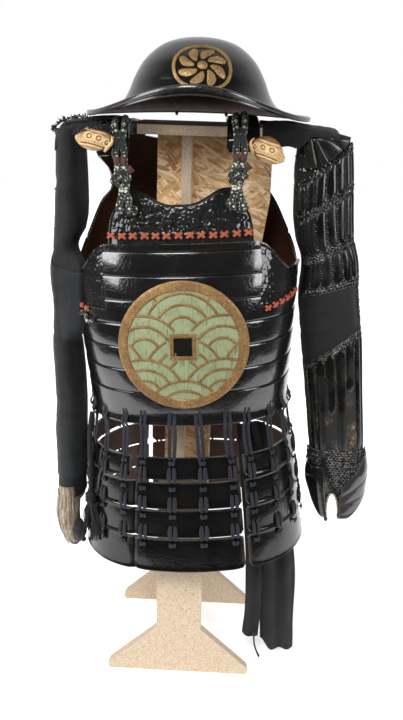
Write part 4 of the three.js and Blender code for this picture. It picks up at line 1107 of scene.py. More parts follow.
def lacing(middle, seed):
    """Braid pairs: long ones from the cuirass, then two lobes and a crossed knot on each lame."""
    place, made = on_skirt(middle), []
    sway = np.random.default_rng(seed)

    def lay(x, z, lift, *size):
        made.append(ribbon(place, np.stack([x, z, lift], -1), *size))

    for u in PAIRS:
        x0 = u * PANEL_HALF * SKIRT_RADIUS
        drift = sway.normal(0, 1.2, 8)
        for hand in (-1, 1):
            z = np.linspace(522, 431, 22)
            bow = np.sin((z - 431) / 91 * math.pi)
            lift = 3.6 + 6.2 * np.exp(-((z - 499) / 7.0) ** 2) - 1.6 * smooth(480, 455, z)
            lift = lift - 1.6 * smooth(440, 432, z) + 0.6 * np.sin(z / 9 + drift[0] * 3 + hand)
            spread = 3.4 + 0.9 * bow + drift[1] * 0.35
            lay(x0 + hand * spread + drift[2] * 1.6 * bow + drift[3] * (z - 431) / 70, z, lift, 5.8, 2.6)
        for row, (top, bottom) in enumerate(LAMES):
            last = row == len(LAMES) - 1
            base, knot_z = 3.9 + 1.2 * last, top - 10 if row else top - 9
            x1 = x0 + drift[4 + row] * 0.5
            t = np.linspace(-1, 1, 7)
            for turn in (-1, 1):
                lift = base + 2.3 - 1.3 * t ** 2 + turn * 0.5
                lay(x1 + t * 4.6, knot_z + turn * t * 2.6, lift, 4.6, 2.4, 4)
            t = np.linspace(0, 1, 13)
            fat = 6.6 * np.sin(np.clip(t * 0.86 + 0.1, 0, 1) * math.pi) ** 0.45
            bow = np.sin(t * math.pi)
            z, lift = np.linspace(bottom + 19, bottom - 7, 13), base + 2.2 * bow + 0.6 + drift[5] * 0.2
            for hand in () if last else (-1, 1):
                lay(x1 + hand * (3.5 + 0.5 * bow), z, lift, fat, 4.2, 5)
    return together(made)


def build_skirt():
    for number, name in enumerate(PANELS):
        middle = number / len(PANELS) * TURN
        lames = []
        for row, (top, bottom) in enumerate(LAMES):
            reach = 5 * RAD if name == "front_left" and row else 0
            lames.append(skirt_lame(middle, top, bottom, 60 + number * 4 + row, reach))
        nodes = [f"skirt_{name}_lame_{k}" for k in (1, 2, 3, 4)]
        piece(f"skirt_{name}", together(lames), [RUBBED, BROWN], nodes, leaned=True)
        piece(f"skirt_{name}_lacing", lacing(middle, 90 + number), BRAID, leaned=True)


build_skirt()

# ------------------------------------------------------------------ sleeves

SLEEVE_COLUMNS = ("x", "y", "half", "depth")
RIGHT = table((955, 209, -8, 42, 26), (900, 211, -8, 46, 33), (795, 219, -10, 47, 36),
              (755, 230.5, -11, 45.5, 36), (700, 233, -12, 49, 35), (620, 243, -14, 50, 32),
              (520, 255, -18, 47, 30), (440, 264, -20, 46, 28), (402, 267, -20, 45, 27), names=SLEEVE_COLUMNS)
LEFT = table((955, -205, -12, 22, 42), (900, -203, -12, 23, 50), (800, -205, -14, 24, 54),
             (755, -219, -14, 11.5, 55), (730, -222, -14, 11.5, 55), (665, -218.5, -14, 11.5, 53),
             (600, -214, -14, 21, 51), (500, -208, -14, 24, 49),
             (400, -208, -14, 24, 46), (314, -209, -14, 24, 43), names=SLEEVE_COLUMNS)
RIGHT_HAND = table((414, 268, -21, 48, 32), (380, 271, -22, 50, 34), (340, 274, -24, 47, 33),
                   (297, 275, -30, 42, 30), names=SLEEVE_COLUMNS)
LEFT_HAND = table((313.4, -211, -14, 22, 44), (275, -213, -16, 22, 42), (240, -208, -18, 20, 36),
                  (214, -201, -20, 15, 28), names=SLEEVE_COLUMNS)
ARM, LEFT_ARM, HAND = 42.0, 34.0, 46.0   # radii that turn mm round a sleeve or a hand guard into an angle
SLEEVE_GRID, FOREARM_GRID, FLAP_GRID = (96, 124), (90, 84), (60, 72)


def sleeve(rows, phi, z):
    """A point of a sleeve: phi is the angle from the front."""
    phi, z = floats(phi, z)
    deep = follow(rows, "depth", z) * np.cos(phi) * (1 + 0.15 * np.sin(phi) ** 2)
    x = follow(rows, "x", z) + follow(rows, "half", z) * np.sin(phi)
    return np.stack([x, follow(rows, "y", z) - deep, z], -1)


def on_sleeve(rows, radius=ARM, climb=lambda z: 0.0):
    """Places mm round from the front, and height, on a sleeve, where level lines climb outwards."""
    def place(x, up, lift):
        x, z, lift = floats(x, up, lift)
        phi = x / radius
        height = z + climb(z) * np.sin(phi)
        return stand_off(lambda turn, z: sleeve(rows, turn, z), phi, height, lift)
    return place


def crumple(points, seed, folds):
    """Soft dents of worn cloth: broad lumps, small creases, and a few given troughs."""
    x, z = points[..., 0], points[..., 2]
    dent = noise(points * np.array([1, 1, 0.6]), 42, seed, 2) * 2.4
    fine = -np.abs(noise(points * np.array([1, 1, 0.8]), 13, seed + 5, 2)) * 1.5
    for px, pz, run, slope, depth, width in folds:
        trough = np.exp(-(((z - pz) - slope * (x - px)) / width) ** 2)
        dent = dent - depth * trough * np.exp(-((x - px) / run) ** 2)
    return dent + fine


# the bulge's outline: angle from the front, x, y
BULGE = np.array([(0, -219, -69), (30, -198, -75), (60, -180, -76), (85, -170, -70), (105, -172, -63),
                  (125, -190, -60),
                  (142, -206, -50), (158, -211, -10), (180, -219, 41)], float)


def left_bulge(points, phi, z):
    """Between armhole and elbow the left sleeve spreads in front of the side plate."""
    phi, z = floats(phi, z)
    share = smooth(590, 650, z) * (1 - smooth(742, 786, z)) * smooth(0, 0.35, np.sin(phi))
    angle = np.degrees(phi % TURN)
    flat = np.stack([np.interp(angle, BULGE[:, 0], BULGE[:, k]) for k in (1, 2)] + [points[..., 2]], -1)
    return points + (flat - points) * share[..., None]


def cut_cloth(shape, grid, closed=False):
    """Works out a wall of cloth's width, area and length over its outer face; nothing keeps or uses them."""
    face = shape.verts[:grid[0] * grid[1]].reshape(*grid, 3)
    whole = np.concatenate([face, face[:1]]) if closed else face
    width = np.linalg.norm(np.diff(whole, axis=0), axis=2).sum(0).max() / 1000
    crossing = np.cross(whole[1:, 1:] - whole[:-1, :-1], whole[:-1, 1:] - whole[1:, :-1])
    area = np.linalg.norm(crossing, axis=2).sum() / 2e6
    length = max(np.linalg.norm(np.diff(face, axis=1), axis=2).sum(1).mean() / 1000, area / width)


def sleeve_cloth(rows, bottom, top, seed, folds, bulge=None):
    """A sleeve's tube of cloth, with a hem at each end."""
    phi, z = circle(SLEEVE_GRID[0])[:, None], upward(bottom, top, SLEEVE_GRID[1])
    points = sleeve(rows, phi, z)
    points = bulge(points, phi, z) if bulge else points
    hem = 0.8 * (smooth(bottom + 5, bottom + 2, z) + smooth(top - 5, top - 2, z))
    move = crumple(points, seed, folds) * smooth(bottom, bottom + 12, z) * smooth(top, top - 12, z)
    return wall(points, 0.9 + move + hem, -0.7 + move - hem * 0.5, wrap=True)


def rings(place, x0, x1, z0, z1, lift, pitch=5.6, size=3.3, wire=0.85, edge=None):
    """Rows of iron rings on a surface, every other row set half a step over."""
    around, section = 8, 3
    a, b = np.meshgrid(circle(around), circle(section), indexing="ij")
    i, j = np.meshgrid(np.arange(around) * section, np.arange(section), indexing="ij")
    after, side = np.roll(i, -1, 0), (j + 1) % section
    faces = np.stack([after + j, after + side, i + side, i + j], -1).reshape(-1, 4)
    rows, centres = int(round((z1 - z0) / (pitch * 0.8))), []
    for r in range(rows + 1):
        z = z0 + (z1 - z0) * r / max(rows, 1)
        for x in np.arange(x0 + (r % 2) * pitch / 2, x1, pitch):
            if edge is None or edge(x, z):
                centres.append((x, z, r % 2))
    centres = np.array(centres)
    jitter = rng.normal(0, 0.42, (len(centres), 3))
    x, z = ((centres[:, k] + jitter[:, k])[:, None, None] for k in (0, 1))
    tip = (np.where(centres[:, 2] > 0.5, 0.5, -0.5) + jitter[:, 2])[:, None, None]
    out = size + wire * np.cos(b)
    high = lift + wire * np.sin(b) + np.sin(a) * size * tip * 0.55
    verts = place(x + out * np.sin(a), z + out * np.cos(a), high)
    starts = np.arange(len(centres))[:, None, None] * around * section
    return Shape(verts, faces[None] + starts)


def splint(place, x, z0, z1, width, lift, lean_mm, dome=2.4):
    """A long narrow plate, rounded across and at its ends."""
    tall, wide = 16, 9
    t, s = across(0, 1, tall), upward(-1, 1, wide)
    z = z0 + (z1 - z0) * t
    ends = np.clip(np.minimum(z - z0, z1 - z) / (width * 0.45), 0, 1)
    w = width * (0.35 + 0.65 * np.sqrt(1 - (1 - ends) ** 2))
    rise = dome * np.sqrt(np.clip(1 - 0.92 * s ** 2, 0, 1)) * (0.45 + 0.55 * ends)
    skins = [place(x + lean_mm * (t - 0.5) + s * w / 2, z, height) for height in (lift + rise, lift - 0.6)]
    skin = quads(tall, wide)
    return Shape(skins, np.concatenate([skin, skin[:, ::-1] + tall * wide, borders(tall, wide)]))


def backing(place, x0, x1, z0, z1, lift=1.4):
    """Cloth under the splints and rings."""
    x, z = floats(across(x0, x1, 36), upward(z0, z1, 44))
    return wall(place(x, z, lift), 0.5, -0.4)


def plating(name, place, x0, x1, bands, count, node, band_height, under=BACKING, broken=()):
    """Bands of mail with upright plates between them; a broken plate ends early and bares the silk."""
    wide, half = (x1 - x0) / count, band_height / 2
    plates, mail = [], []
    for band in bands:
        mail.append(rings(place, x0, x1, max(band - half, bands[0]), min(band + half, bands[-1]), 3.0))
    for a, b in zip(bands, bands[1:]):
        for k in range(count):
            x = x0 + (k + 0.5) * wide + rng.normal(0, 0.5)
            low = dict(broken).get(k, a + half - 4)
            plates.append(splint(place, x, low, b - half + 4, wide * 0.76, 2.8, rng.normal(0, 1.2)))
        if b - a < TALL_BAY:
            for x in x0 + np.arange(1, count) * wide:
                mail.append(rings(place, x - 2, x + 2, a + half, b - half, 2.2, 5.6, 2.4, 0.6))
    piece(f"{name}_backing", backing(place, x0 - 2, x1 + 2, bands[0] - 3, bands[-1] + 3), under)
    piece(f"{name}_mail", together(mail), IRON)
    piece(f"{name}_splints", together(plates), SPLINT, [node])


TALL_BAY = 150   # no mail runs up between plates that are longer
GUARD_TURN = (-46, 84)   # mm round the right arm that its guards cover
# folds of the sleeves: x, z, run, slope, depth, width
RIGHT_FOLDS = [(222, 672, 26, 0.35, 3.6, 4), (246, 655, 24, -0.4, 3.2, 4), (226, 640, 30, 0.2, 3.8, 5),
               (248, 628, 20, 0.6, 2.6, 3), (215, 930, 30, 0.9, 2.0, 6), (200, 860, 30, -0.6, 1.8, 6)]
LEFT_FOLDS = [(-205, 760, 30, 0.3, 2.5, 8), (-205, 610, 30, -0.4, 2.5, 7), (-205, 700, 30, 0.7, 1.6, 8),
              (-205, 880, 30, 0.5, 2.0, 9), (-205, 480, 30, -0.5, 1.8, 9), (-205, 400, 30, 0.3, 1.6, 7)]


def right_climb(z):
    """How far the right arm's level lines climb outwards, at each height."""
    return np.interp(z, (415, 606, 690, 711, 772, 847, 908), (0, 35, 14, 14, 19, 29, 36))


def build_right_sleeve():
    cloth = sleeve_cloth(RIGHT, 402, 955, 71, RIGHT_FOLDS)
    made = piece("right_sleeve", cloth, DARK_HEMP, ["sleeve_right_cloth"], crease=60)
    cut_cloth(cloth, SLEEVE_GRID, True)
    pick, place = np.random.default_rng(19), on_sleeve(RIGHT, ARM, right_climb)
    spots = zip(pick.uniform(-58, 4, 30), pick.uniform(868, 936, 30))
    studs = [ball(on_sleeve(RIGHT)(x, z, 2.4), (1.5, 1.5, 1.5), 8) for x, z in spots]
    piece("right_rivets", together(studs), WHITE)
    piece("right_elbow_mail", rings(place, 56, 84, 612, 712, 2.4), IRON)
    plating("right_upper", place, *GUARD_TURN, [711, 772, 847, 908], 8, "sleeve_right_upper_guard", 17)
    plating("right_forearm", place, *GUARD_TURN, [414, 606], 8, "sleeve_right_forearm_guard", 17, BROCADE,
            ((2, 492), (4, 522)))


def build_left_sleeve():
    cloth = sleeve_cloth(LEFT, 314, 955, 77, LEFT_FOLDS, left_bulge)
    made = piece("left_sleeve", cloth, CLOTH, ["sleeve_left_cloth"], crease=60)
    cut_cloth(cloth, SLEEVE_GRID, True)
    phi, v = circle(FOREARM_GRID[0])[:, None], upward(0, 1, FOREARM_GRID[1])
    z = 352 + (744 - 14 * np.sin(phi) - 6 * np.cos(phi) - 352) * v
    points = left_bulge(sleeve(LEFT, phi, z), phi, z)
    move = crumple(points, 77, LEFT_FOLDS) * smooth(314, 326, z) + 1.1
    over = wall(points, 1.4 + move + 0.8 * np.exp(-((1 - v) / 0.012) ** 2), 0.2 + move, wrap=True)
    made = piece("left_forearm_cloth", over, HEMP, crease=60)
    cut_cloth(over, FOREARM_GRID, True)
    studs = [ball(sleeve(LEFT, -1.5, z) - (2.2, 0, 0), (2.2, 2.2, 2.2), 10) for z in (858, 792, 728)]
    piece("left_studs", together(studs), IRON)
    start, stop = (angle * RAD * LEFT_ARM for angle in (128, 262))
    bands, place = [330, 612, 948], on_sleeve(LEFT, LEFT_ARM)
    plating("left_plates", place, start, stop, bands, 5, "sleeve_left_guard", 20)


build_right_sleeve()
build_left_sleeve()

# ------------------------------------------------------------------ hand guards


def patch(rows, left, right, low, high, lift, thick, columns=60, lines=30, dome=0.0, turned=0.0, seed=0):
    """A plate on a sleeve between two edges that are functions of the angle from the front."""
    phi, v = across(left, right, columns), upward(0, 1, lines)
    points = sleeve(rows, phi, low(phi) + (high(phi) - low(phi)) * v)
    side = np.minimum((phi - left), (right - phi)) / (right - left) * 2
    belly = dome * np.sin(v * math.pi) ** 0.7 * np.clip(side * 2.5, 0, 1) ** 0.5
    inner = lift + belly + turned * np.exp(-(v / 0.06) ** 2) + noise(points, 18, seed, 2) * 0.35
    return wall(points, inner + thick, inner)


def level(height):
    """An edge at one height."""
    return lambda phi: height + 0 * phi


GUARD_HALF = 96 * RAD   # the right hand guard reaches this far round to each side


def hand_hem(phi):
    """The right hand guard's lower edge: an arch beside the thumb, and corners that climb."""
    u = phi / GUARD_HALF
    arch = 46 * np.sqrt(np.clip(1 - ((u + 0.14) / 0.15) ** 2, 0, 1))
    return 300 + 44 * smooth(0.38, 1.0, -u) + 34 * smooth(0.2, 0.85, u) + arch


def welt(name, rows, left, right, low, lift, stitches, count=150, radius=1.5):
    """A rolled edge with white stitches over it."""
    phi = np.linspace(left, right, count)
    line = sleeve(rows, phi, low(phi))
    n = normals(np.stack([line, sleeve(rows, phi, low(phi) + 1)], 1))[:, 0]
    path = line + n * lift
    made = [tube(path, radius, 8)]
    run, t = distance(path), across(-1, 1, 5)
    for at in np.arange(2, run[-1], stitches):
        k = np.searchsorted(run, at)
        along = path[min(k + 1, count - 1)] - path[k - 1]
        side = np.cross(along / np.linalg.norm(along), n[k])
        stitch = path[k] + side * t * radius * 1.3 + n[k] * (radius + 0.25 - 0.7 * t ** 2)
        made.append(tube(stitch, 0.42, 5).kind(1))
    piece(name, together(made), [LINING, WHITE])


def build_right_hand():
    rows, full = RIGHT_HAND, GUARD_HALF

    def upper(phi):
        return 341 + 48 * np.clip(phi / full - 0.1, -0.2, 0.65)

    def lower(phi):
        return 326 + 29 * np.clip(phi / full - 0.2, -0.3, 0.6)

    def mail_edge(phi):
        return np.minimum(412, 352 + 92 * np.clip(phi / full, 0, 1))

    def above(edge, rise):
        return lambda phi: edge(phi) + rise

    def among_mail(x, z):
        return z > (428 - 76 * smooth(-30, 0, x) if x < 0 else 352 + 62 * np.clip(x / 70, 0, 1))

    hem = above(hand_hem, 1)
    black = [patch(rows, -full, full, hand_hem, level(414), -0.2, 1.6, 120, 30, seed=3),
             patch(rows, -full, -0.3 * full, hem, level(392), 1.6, 1.6, 50, 40, 4.5, 0.6, 5)]
    grey = [patch(rows, 0.04 * full, full, hem, above(lower, 7), 1.6, 1.5, 60, 20, 1.0, 1.0, 6),
            patch(rows, 0.02 * full, full, lower, above(upper, 7), 3.0, 1.5, 60, 22, 1.0, 1.0, 7),
            patch(rows, 0.05 * full, full, upper, mail_edge, 4.4, 1.5, 60, 26, 1.4, 1.2, 8)]
    plates = together(black + [plate.kind(1) for plate in grey])
    piece("right_hand", plates, [LACQUER, HAND_PLATE], ["sleeve_right_hand_guard"])
    place = on_sleeve(rows, HAND)
    mail = [rings(place, -32, 76, 346, 420, 2.4, edge=among_mail), rings(place, -74, -30, 400, 420, 2.4)]
    piece("right_hand_mail", together(mail), IRON)
    lining = patch(rows, -full, full, above(hand_hem, -0.8), above(hand_hem, 34), -1.9, 1.2, 120, 8, seed=9)
    piece("right_hand_lining", lining, LINING)
    welt("right_hand_welt", rows, -full, full, above(hand_hem, -0.6), 0.6, 4.2)
    knobs = []
    for u, z in ((-0.3, 299), (0.025, 308)):
        at = sleeve(rows, u * full, z - 2.0) + np.array([0, -3.0, 0])
        knobs += [ball(at, (3.6, 3.4, 4.6)), tube([at + (0, 0.5, 3), at + (0, 1.5, 12)], 1.6, 8)]
    piece("right_hand_knobs", together(knobs), FELT)


def build_left_hand():
    rows, back_edge, palm_edge = LEFT_HAND, -150 * RAD, 62 * RAD

    def low(phi):
        return 214 + 9 * smooth(-0.9, -1.8, phi) + 7 * smooth(0.2, 1.1, phi)

    shell = patch(rows, back_edge, -38 * RAD, low, level(313), 0.4, 1.8, 60, 40, 1.6, 1.2, 21)
    inside = patch(rows, back_edge, palm_edge, low, level(313), -1.3, 1.2, 80, 40, seed=22)
    piece("left_hand", together([shell, inside]), LACQUER, ["sleeve_left_hand_guard"])
    phi, z = floats(across(-42 * RAD, palm_edge, 60), 222 + (334 - 222) * upward(0, 1, 48))
    points = sleeve(rows, phi, z)
    quilt = 1.3 * np.abs(np.sin(phi * 9.5 + 0.4 * np.sin(z / 17))) ** 0.6
    sag = noise(points * np.array([1, 1, 0.35]), 11, 23, 3) * 1.1
    piece("left_hand_lining", wall(points, 1.4 + quilt + sag, 0.0), PALM, crease=60)
    start = -40 * RAD

    def upright(phi):
        return 222 + (phi - start) / RAD * 100

    welt("left_hand_welt", rows, start, start + RAD, upright, 2.6, 4.5, 60)
    centre = np.array([-191, -50, 246.0])
    bunch = ball(centre, (13, 13, 21), 36)
    bunch.verts += (bunch.verts - centre) / 16 * (noise(bunch.verts, 9, 31, 3) * 3.4)[:, None]
    knob = [ball((-184, -46, 225), (4.6, 4.4, 5.0)), tube([(-186, -47, 240), (-184, -46, 225)], 2.4, 8)]
    piece("left_hand_bunch", together([bunch] + knob), PLUM)
    phi, v = across(-30 * RAD, 120 * RAD, 70), upward(0, 1, 10)
    cuff = sleeve(LEFT, phi, 313 - 9 * smooth(0.2, 1.0, phi) + 24 * v)
    facing = wall(cuff, -1.6 + 0.4 * np.sin(v * math.pi), -2.8)
    piece("left_cuff_facing", facing, LINING)


# ------------------------------------------------------------------ shoulders


def flap(side, inner, outer, seed, name, node, fall):
    """Cloth crown over a sleeve's open top, falling over in front, behind and outside."""
    u, v = across(0, 1, FLAP_GRID[0]), upward(-1.35, 1.35, FLAP_GRID[1])
    fold = smooth(0.78, 1.35, np.abs(v))
    x = inner + (outer - inner) * (0.96 * u - 0.03 * smooth(0.9, 1, u)) + 0 * v
    y = -10 + np.sign(v) * np.minimum(np.abs(v), 0.98 + 0.06 * fold) * (44 - 6 * u)
    crown = 977 - 13 * u ** 2 - 7 * np.clip(np.abs(v), 0, 1) ** 2
    z = crown - fall(u) * fold * (0.85 + 0.2 * np.sin(u * 9 + seed)) - 15 * smooth(0.8, 1, u) ** 2
    points = np.stack([x, y, z], -1)
    dent = noise(points, 30, seed, 2) * 3.0 - np.abs(noise(points, 11, seed + 3, 2)) * 1.6
    shape = wall(points, 1.2 + dent, -0.6 + dent, flip=side < 0)
    made = piece(name, shape, DARK_HEMP, [node], crease=60)
    cut_cloth(shape, FLAP_GRID)


def frill(name, path, seed, count, reach, look=CLOTH, lean_to=(-0.3, -0.5, 0.15)):
    """Short frayed threads along an edge."""
    pick, made, s = np.random.default_rng(seed), [], across(0, 1, 5)
    for _ in range(count):
        t = pick.uniform(0, len(path) - 1.001)
        k = int(t)
        at = path[k] + (path[k + 1] - path[k]) * (t - k) + pick.normal(0, 1.2, 3)
        aim = pick.normal(0, 1, 3) * np.array([0.8, 0.5, 0.7]) + np.array(lean_to)
        aim /= np.linalg.norm(aim)
        bend = pick.normal(0, 0.5, 3)
        size = reach * pick.uniform(0.5, 1.2)
        made.append(tube(at + aim * s * size + bend * (s * size) ** 2 / 9, np.linspace(1.1, 0.3, 5), 5))
    piece(name, together(made), look)


def bell(x):
    return np.exp(-x ** 2)


def mask(name, node, place, turn, roll, hand):
    """A carved lion-dog face: ringed eyes under brows, a flat nose, a keel of a jaw, curled mane locks."""
    columns, rows = 97, 77
    side, up = across(-1, 1, columns), upward(-1, 1, rows)
    a = side + 0 * up
    chin = -0.95 * (1 - np.abs(side + 0.12 * hand) ** 2.3).clip(0, 1) ** 0.8 - 0.05
    brow = 1.22 * (1 - np.abs(side - 0.1 * hand).clip(0, 1) ** 1.8) ** 0.7 - 0.02
    h = chin + (brow - chin) * (up + 1) / 2
    dome = np.sqrt(np.clip(1 - (a / 1.04) ** 2, 0, 1))
    dome = dome * np.sqrt(np.clip(1 - np.abs(up) ** 2.4 * 0.96, 0, 1))

    def spot(x, z, wide, tall):
        return ((a - x) / wide) ** 2 + ((h - z) / tall) ** 2

    def mound(x, z, wide, tall):
        return np.exp(-spot(x, z, wide, tall))

    relief = 0 * dome
    for eye in (-0.24, 0.28):
        d = np.sqrt(spot(eye, 0.2, 0.2, 0.31))
        relief += 2.1 * bell((d - 1) / 0.28) + 2.0 * bell(d / 0.42) - 1.6 * bell((d - 0.6) / 0.16)
        relief += 2.4 * mound(eye, 0.72, 0.26, 0.1) - 1.5 * mound(eye, 0.58, 0.24, 0.05)
        relief -= 1.2 * mound(eye, 0.9, 0.3, 0.05)
    relief += 3.0 * mound(0.02, -0.1, 0.13, 0.18)
    for nostril in (-0.05, 0.09):
        relief -= 2.0 * mound(nostril, -0.22, 0.04, 0.05)
    gap = h + 0.42 + 0.25 * (a - 0.02) ** 2
    mouth = np.clip((0.7 - np.abs(a - 0.02)) * 12, 0, 1)
    teeth = (np.sin(a * 40) > -0.2) * bell((gap - 0.11) / 0.05)
    relief += (1.3 * teeth - 1.5 * bell(gap / 0.06)) * mouth
    relief += 1.8 * bell((gap + 0.16) / 0.08) - 0.9 * bell((gap + 0.3) / 0.05)
    d = np.sqrt(spot(hand * 0.72, 0.0, 0.15, 0.28))
    relief += 2.0 * bell((d - 1) / 0.25) - 1.3 * bell((d - 0.6) / 0.18) + 1.3 * bell(d / 0.35)
    relief += 0.9 * np.sin((a * 2.2 - h * 1.2 * hand) * 22) * mound(-hand * 0.74, 0.1, 0.2, 0.5)
    relief *= np.clip((1 - np.abs(a)) * 9, 0, 1) * np.clip((1 - np.abs(up)) * 9, 0, 1)
    (c, s), (tip_c, tip_s) = ((math.cos(k * RAD), math.sin(k * RAD)) for k in (turn, roll))

    def stand(px, forward, pz):
        x, z, y = px * tip_c - pz * tip_s, px * tip_s + pz * tip_c, -forward
        return np.stack([place[0] + x * c + y * s, place[1] - x * s + y * c, place[2] + z], -1)

    skins = [stand(a * 29, 11.0 * dome + relief * 0.8, h * 17.5), stand(a * 27.5, -5.6 * dome, h * 16.5)]
    skin = quads(columns, rows)
    faces = [skin, skin[:, ::-1] + a.size, borders(columns, rows)[:, ::-1]]
    # Painted shade: the face is darkened towards its top, and high up towards its sides, as if shaded by the
    # cloth above. The relief makes it lighter where raised and darker in its cuts. Both go into the UV's
    # first value.
    shade = 0.26 * smooth(0.25, 1.1, h) + 0.1 * smooth(0.3, 1.0, np.abs(a)) * smooth(-0.2, 0.5, h)
    cut_and_shade = np.clip(0.5 + relief / 5 - shade, 0, 1).reshape(-1, 1)
    uv = np.concatenate([np.concatenate([cut_and_shade, 0 * cut_and_shade], 1), np.full((a.size, 2), 0.5)])
    parts, t = [Shape(skins, np.concatenate(faces), None, uv)], np.linspace(0, 1, 24)
    for k in range(3):
        lock = stand(hand * (22 + 6.5 * np.sin(t * 2.6 + k * 0.3)) - hand * 3 * k, 7 + 3 * np.sin(t * 3) - k,
                     -7 + t * (19 - 4 * k) - 3 * k)
        parts.append(tube(lock, (2.7 - 0.4 * k) * np.sqrt(np.clip(1.02 - t, 0, 1)) + 0.3, 9))
        parts[-1].uv[:] = 0.55
    piece(name, together(parts), CARVED, [node], crease=50)


TOGGLE = np.array([2.6, 3.8, 4.2, 4.2, 4.2, 4.2, 3.8, 2.6])   # radii of a toggle bar along its length


def shoulder_cord(side, top, bottom, name, node):
    """Two mottled braids, each through a short toggle bar, crossing in a knot with flared ends."""
    middle, knot_z, mottled, red = (top + bottom) / 2, 895, [], []
    for hand in (-1, 1):
        d = hand * 6.2
        path = curve([(top + d, -64, 981), (top + d * 1.25, -88, 972), (top + d * 0.75, -101, 950),
                      (top + d * 1.1, -105, 930), ((top + middle) / 2 + d * 0.8, -108, 912),
                      (middle + d * 1.25, -111, 897), (bottom + d * 0.5, -114, 876),
                      (bottom + d * 1.1, -118, 858), (bottom + d * 1.3 + side * 1.0, -121, 842)], 90)
        mottled.append(tube(path, 5.3 + 0.35 * np.sin(np.linspace(0, 50, 90) + hand), 14))
        red.append(tube(path[42:50] + (0, -3.2, 0), TOGGLE, 12, 1.15))
    t = np.linspace(0, TURN, 34)
    for k, (dx, dz, size, tip) in enumerate(((-7, -1, 7.5, 0.4), (6, 2, 7.0, -0.5), (-1, -9, 6.0, 0.1))):
        rise = size * 0.8 * np.sin(t) + size * np.cos(t) * math.sin(tip)
        ring = [middle + dx + size * np.cos(t) * math.cos(tip), -116 - 1.5 * np.sin(2 * t + k) - k,
                knot_z + dz + rise]
        mottled.append(tube(np.stack(ring, -1), 3.6, 9))
    for dx, dz, ex, ez in ((7, 4, 17, 13), (-6, -5, -16, -9)):
        start, reach = np.array([middle + dx, -117, knot_z + dz]), np.array([ex - dx, 1.0, ez - dz])
        red.append(tube(start + across(0, 1, 9) * reach, np.linspace(2.8, 6.4, 9), 12, 0.62, (0.0, 1.0, 0.0)))
    t = np.linspace(0, TURN, 40)
    for k, (dx, dz, size) in enumerate(((-3, 2, 10), (7, -5, 8))):
        x, z = bottom - side * 3 + dx + size * np.cos(t), 847 + dz + size * 0.7 * np.sin(t)
        mottled.append(tube(on_body(x, z, 8 + 1.6 * np.sin(2 * t + k)), 3.4, 9))
    piece(name, together(mottled), MOTTLED, [node], leaned=True)
    piece(name + "_toggles", together(red), RED, leaned=True)


def on_cap(x, z, lift):
    """The right sleeve's head: a shallow bulge that rolls back over the shoulder."""
    y = -37 - 9 * (1 - ((x - 209) / 48).clip(-1, 1) ** 2) + 0.9 * (z - 950).clip(0, 40)
    return np.stack([x, y - lift, z + 0.35 * lift], -1)


def wedge(corners, lift, dome=3.0):
    """A splint with four corners, tapering to the shoulder."""
    c = np.array(corners, float)
    u, v = across(0, 1, 20), upward(0, 1, 13)
    share, side = u[..., None], v[..., None]
    at = (c[0] * (1 - side) + c[1] * side) * (1 - share) + (c[3] * (1 - side) + c[2] * side) * share
    ends = 0.3 + 0.7 * np.sin(np.clip(u * 1.08, 0, 1) * math.pi) ** 0.4
    rise = dome * np.sqrt(np.clip(1 - (2 * v - 1) ** 2 * 0.95, 0, 1)) * ends
    return wall(on_cap(at[..., 0], at[..., 1], lift + rise), 0.7, -0.7, flip=True)


def build_shoulders():
    flap(-1, -118, -230, 4, "left_flap", "shoulder_flap_left", lambda u: 30 - 8 * u)
    flap(1, 104, 250, 8, "right_flap", "shoulder_flap_right", lambda u: 44 - 36 * smooth(0.4, 0.62, u))
    edge = curve([(-150, -56, 966), (-172, -54, 975), (-196, -50, 973), (-214, -44, 966), (-227, -30, 955),
                  (-229, -10, 952)], 30)
    frill("left_shoulder_fray", edge, 5, 220, 4.8)
    mask("left_mask", "mask_left", (-149, -104, 944), 0, -13, 1)
    mask("right_mask", "mask_right", (118, -105, 935), 22, -15, -1)
    # Dark threads over the left mask's top: a fringe put there as painted shade, for the shadow that the
    # cloth above casts on the mask.
    over = curve([(-173, -112, 957), (-160, -117, 963), (-146, -118, 966), (-132, -115, 964),
                  (-121, -109, 958)], 24)
    frill("left_mask_shade_threads", over, 8, 170, 5.0, BRAID, (0.0, -0.4, 0.0))
    shoulder_cord(-1, -89, -84, "left_cords", "shoulder_cords_left")
    shoulder_cord(1, 96, 90, "right_cords", "shoulder_cords_right")
    plates = [wedge(((187, 966), (190, 969), (249, 955), (239, 937)), 3.4),
              wedge(((186, 962), (189, 965), (236, 936), (218, 917)), 3.0),
              wedge(((184, 959), (187, 962), (216, 915), (206, 909)), 3.8, 2.0),
              wedge(((175, 949), (186, 955), (198, 907), (180, 907)), 3.0, 4.0)]
    piece("right_shoulder_fan", together(plates), SPLINT)


build_right_hand()
build_left_hand()
build_shoulders()

# ------------------------------------------------------------------ crossed knots and sash


def crossed(place, x, z, size, lift):
    """One crossed knot: two short braids over each other."""
    t, made = np.linspace(-1, 1, 9), []
    for turn in (-1, 1):
        arm = [x + t * size * 0.84, z + turn * t * size * 0.62, lift + 2.6 - 1.9 * t ** 2 + turn * 0.6]
        made.append(ribbon(place, np.stack(arm, -1), 4.3, 2.8, 4))
    return made


def on_side(x, z, lift):
    """A point of the cuirass's side, from mm round from the front and height."""
    x, z, lift = floats(x, z, lift)
    return stand_off(torso, x / SIDE_RADIUS, z, lift)


